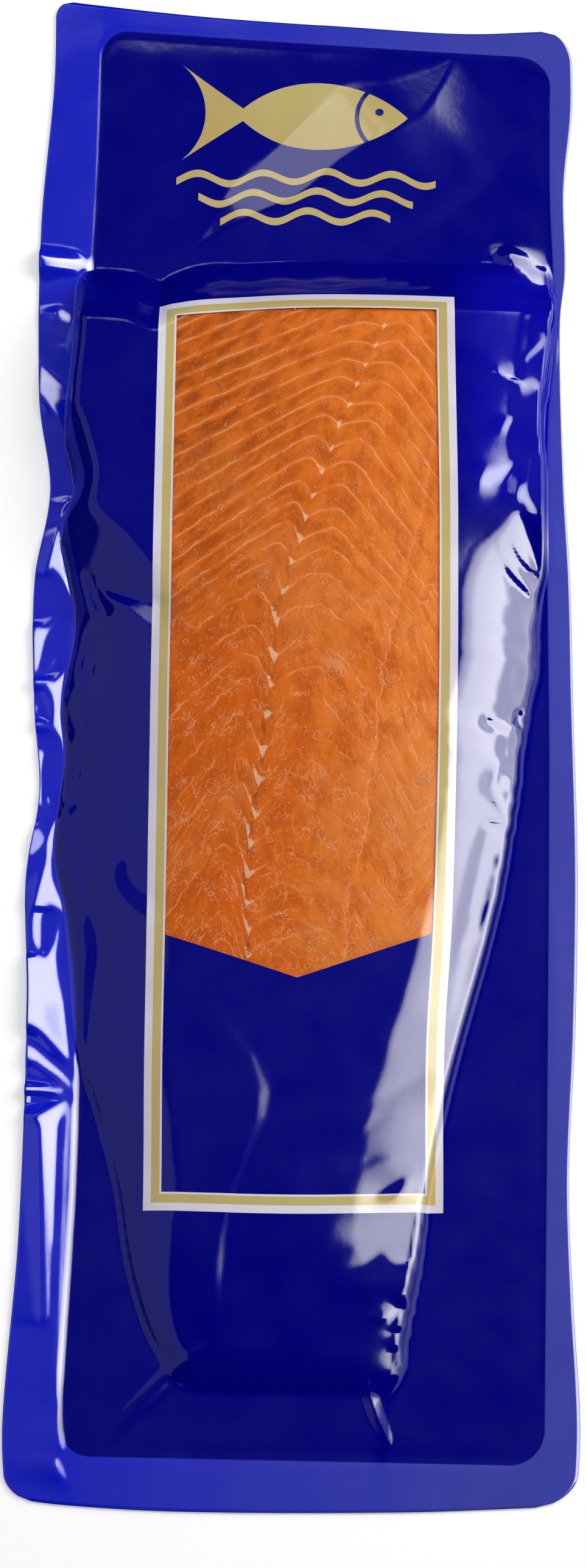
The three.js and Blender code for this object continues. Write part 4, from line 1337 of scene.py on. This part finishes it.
def reflector(name, low_y, high_y, stops, colour=(1, 1, 1, 1)):
    """A curved softbox round the pack's long axis that only gloss sees. Each stop is an angle
    from straight up, in degrees towards +X, and the brightness there."""
    radius, count = 2.2, 24
    low, high = stops[0][0], stops[-1][0]
    angles = [math.radians(low + (high - low) * i / count) for i in range(count + 1)]
    points = [(radius * math.sin(a), y, radius * math.cos(a)) for a in angles for y in (low_y, high_y)]
    mesh = bpy.data.meshes.new(name)
    mesh.from_pydata(points, [], [(2 * i, 2 * i + 1, 2 * i + 3, 2 * i + 2) for i in range(count)])
    made = in_scene(name, mesh)
    material, add = new_material(name)
    flat = add("SeparateXYZ", add("TexCoord").outputs["Object"])
    angle = add("DEGREES", add("ARCTAN2", flat.outputs["X"], flat.outputs["Z"]))
    strength = stops[0][1]
    for (start, before), (end, after) in zip(stops, stops[1:]):
        strength = add("MULTIPLY_ADD", add("step", angle, start, end), after - before, strength)
    add("OutputMaterial", Surface=add("Emission", Color=colour, Strength=strength))
    mesh.materials.append(material)
    made.visible_camera = False
    made.visible_diffuse = False
    made.visible_shadow = False
    made.visible_transmission = False
    made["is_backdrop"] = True


class PACK_OT_stage(bpy.types.Operator):
    """Makes the pale floor, the soft lights and the camera that looks down on the pack"""

    bl_idname = "salmon_pack.stage"
    bl_label = "Stage"

    def execute(self, context):
        scene = context.scene
        scene.view_settings.view_transform = "Standard"

        floor = bpy.data.meshes.new("floor")
        r = FLOOR_REACH
        corners = [(x, y, -FLOOR_DROP) for x, y in ((-r, -r), (r, -r), (r, r), (-r, r))]
        floor.from_pydata(corners, [], [(0, 1, 2, 3)])
        ground = in_scene("floor", floor)
        material, add = new_material("floor_paint")
        matt = add("BsdfDiffuse", Color=(0.96, 0.96, 0.96, 1))
        glow = add("Emission", Strength=0.24)
        add("OutputMaterial", Surface=add("AddShader", matt, glow))
        floor.materials.append(material)
        ground.visible_glossy = False
        ground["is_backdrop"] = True

        # Dim even light on matt surfaces, and none in the gloss
        world = bpy.data.worlds.new("studio")
        add = node_adder(world)
        seen_in_gloss = add("LightPath").outputs["Is Glossy Ray"]
        strength = add("MapRange", seen_in_gloss, To_Min=0.27, To_Max=0.0)
        add("OutputWorld", Surface=add("Background", Strength=strength))
        scene.world = world

        area_light("key", (0.85, 0.3, 0.9), 0.9, 3.6)
        area_light("top", (-0.15, 0.2, 1.6), 1.0, 3.0)
        warm_white = (1, 0.985, 0.89, 1)
        right_stops = ((14, 0), (18, 4), (23, 7), (42, 12.5), (74, 13.5), (80, 5.5), (135, 5))
        reflector("softbox_right", -1.0, 3.0, right_stops, warm_white)
        reflector("wall_left", -1.7, 1.9, ((-86, 0.3), (-24, 0.3), (-19, 0)))
        reflector("window_far", 1.35, 2.0, ((-18, 0), (-16, 2.4), (-8.5, 2.4), (-7.5, 0)))
        reflector("door_far", 1.35, 2.0, ((-5.8, 0), (-5, 2.2), (-2.4, 2.2), (-1.6, 0)))

        camera = in_scene("camera", bpy.data.cameras.new("camera"))
        camera.data.lens = 85
        camera.data.sensor_width = 36
        flat, up = math.cos(CAMERA_ELEVATION), math.sin(CAMERA_ELEVATION)
        back = Vector((math.sin(CAMERA_AZIMUTH) * flat, -math.cos(CAMERA_AZIMUTH) * flat, up))
        camera.location = Vector(CAMERA_TARGET) + back * CAMERA_DISTANCE
        camera.rotation_euler = (-back).to_track_quat("-Z", "Y").to_euler()
        scene.camera = camera
        return {"FINISHED"}


class PACK_PT_panel(bpy.types.Panel):
    """Lists the operators that build the pack"""

    bl_label = "Salmon pack"
    bl_idname = "PACK_PT_panel"
    bl_space_type = "VIEW_3D"
    bl_region_type = "UI"
    bl_category = "Salmon pack"

    def draw(self, context):
        for operator in OPERATORS:
            self.layout.operator(operator.bl_idname)


OPERATORS = (PACK_OT_stage, PACK_OT_pouch, PACK_OT_window, PACK_OT_fish, PACK_OT_bubbles)
CLASSES = (PackSettings, *OPERATORS, PACK_PT_panel)


def register():
    """Registers the add-on's classes and its settings."""
    for made in CLASSES:
        bpy.utils.register_class(made)
    bpy.types.Scene.salmon_pack = PointerProperty(type=PackSettings)


def unregister():
    """Takes the add-on's classes and settings away."""
    del bpy.types.Scene.salmon_pack
    for made in reversed(CLASSES):
        bpy.utils.unregister_class(made)


def main():
    """Builds the whole pack."""
    register()
    bpy.ops.salmon_pack.stage()
    bpy.ops.salmon_pack.pouch()
    bpy.ops.salmon_pack.window()
    bpy.ops.salmon_pack.fish()
    bpy.ops.salmon_pack.bubbles()
    boxes = {"cad": CAD_BOX, "visual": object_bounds()}
    {name: [list(map(float, place)) for place in box] for name, box in boxes.items()}


if __name__ == "__main__":
    main()
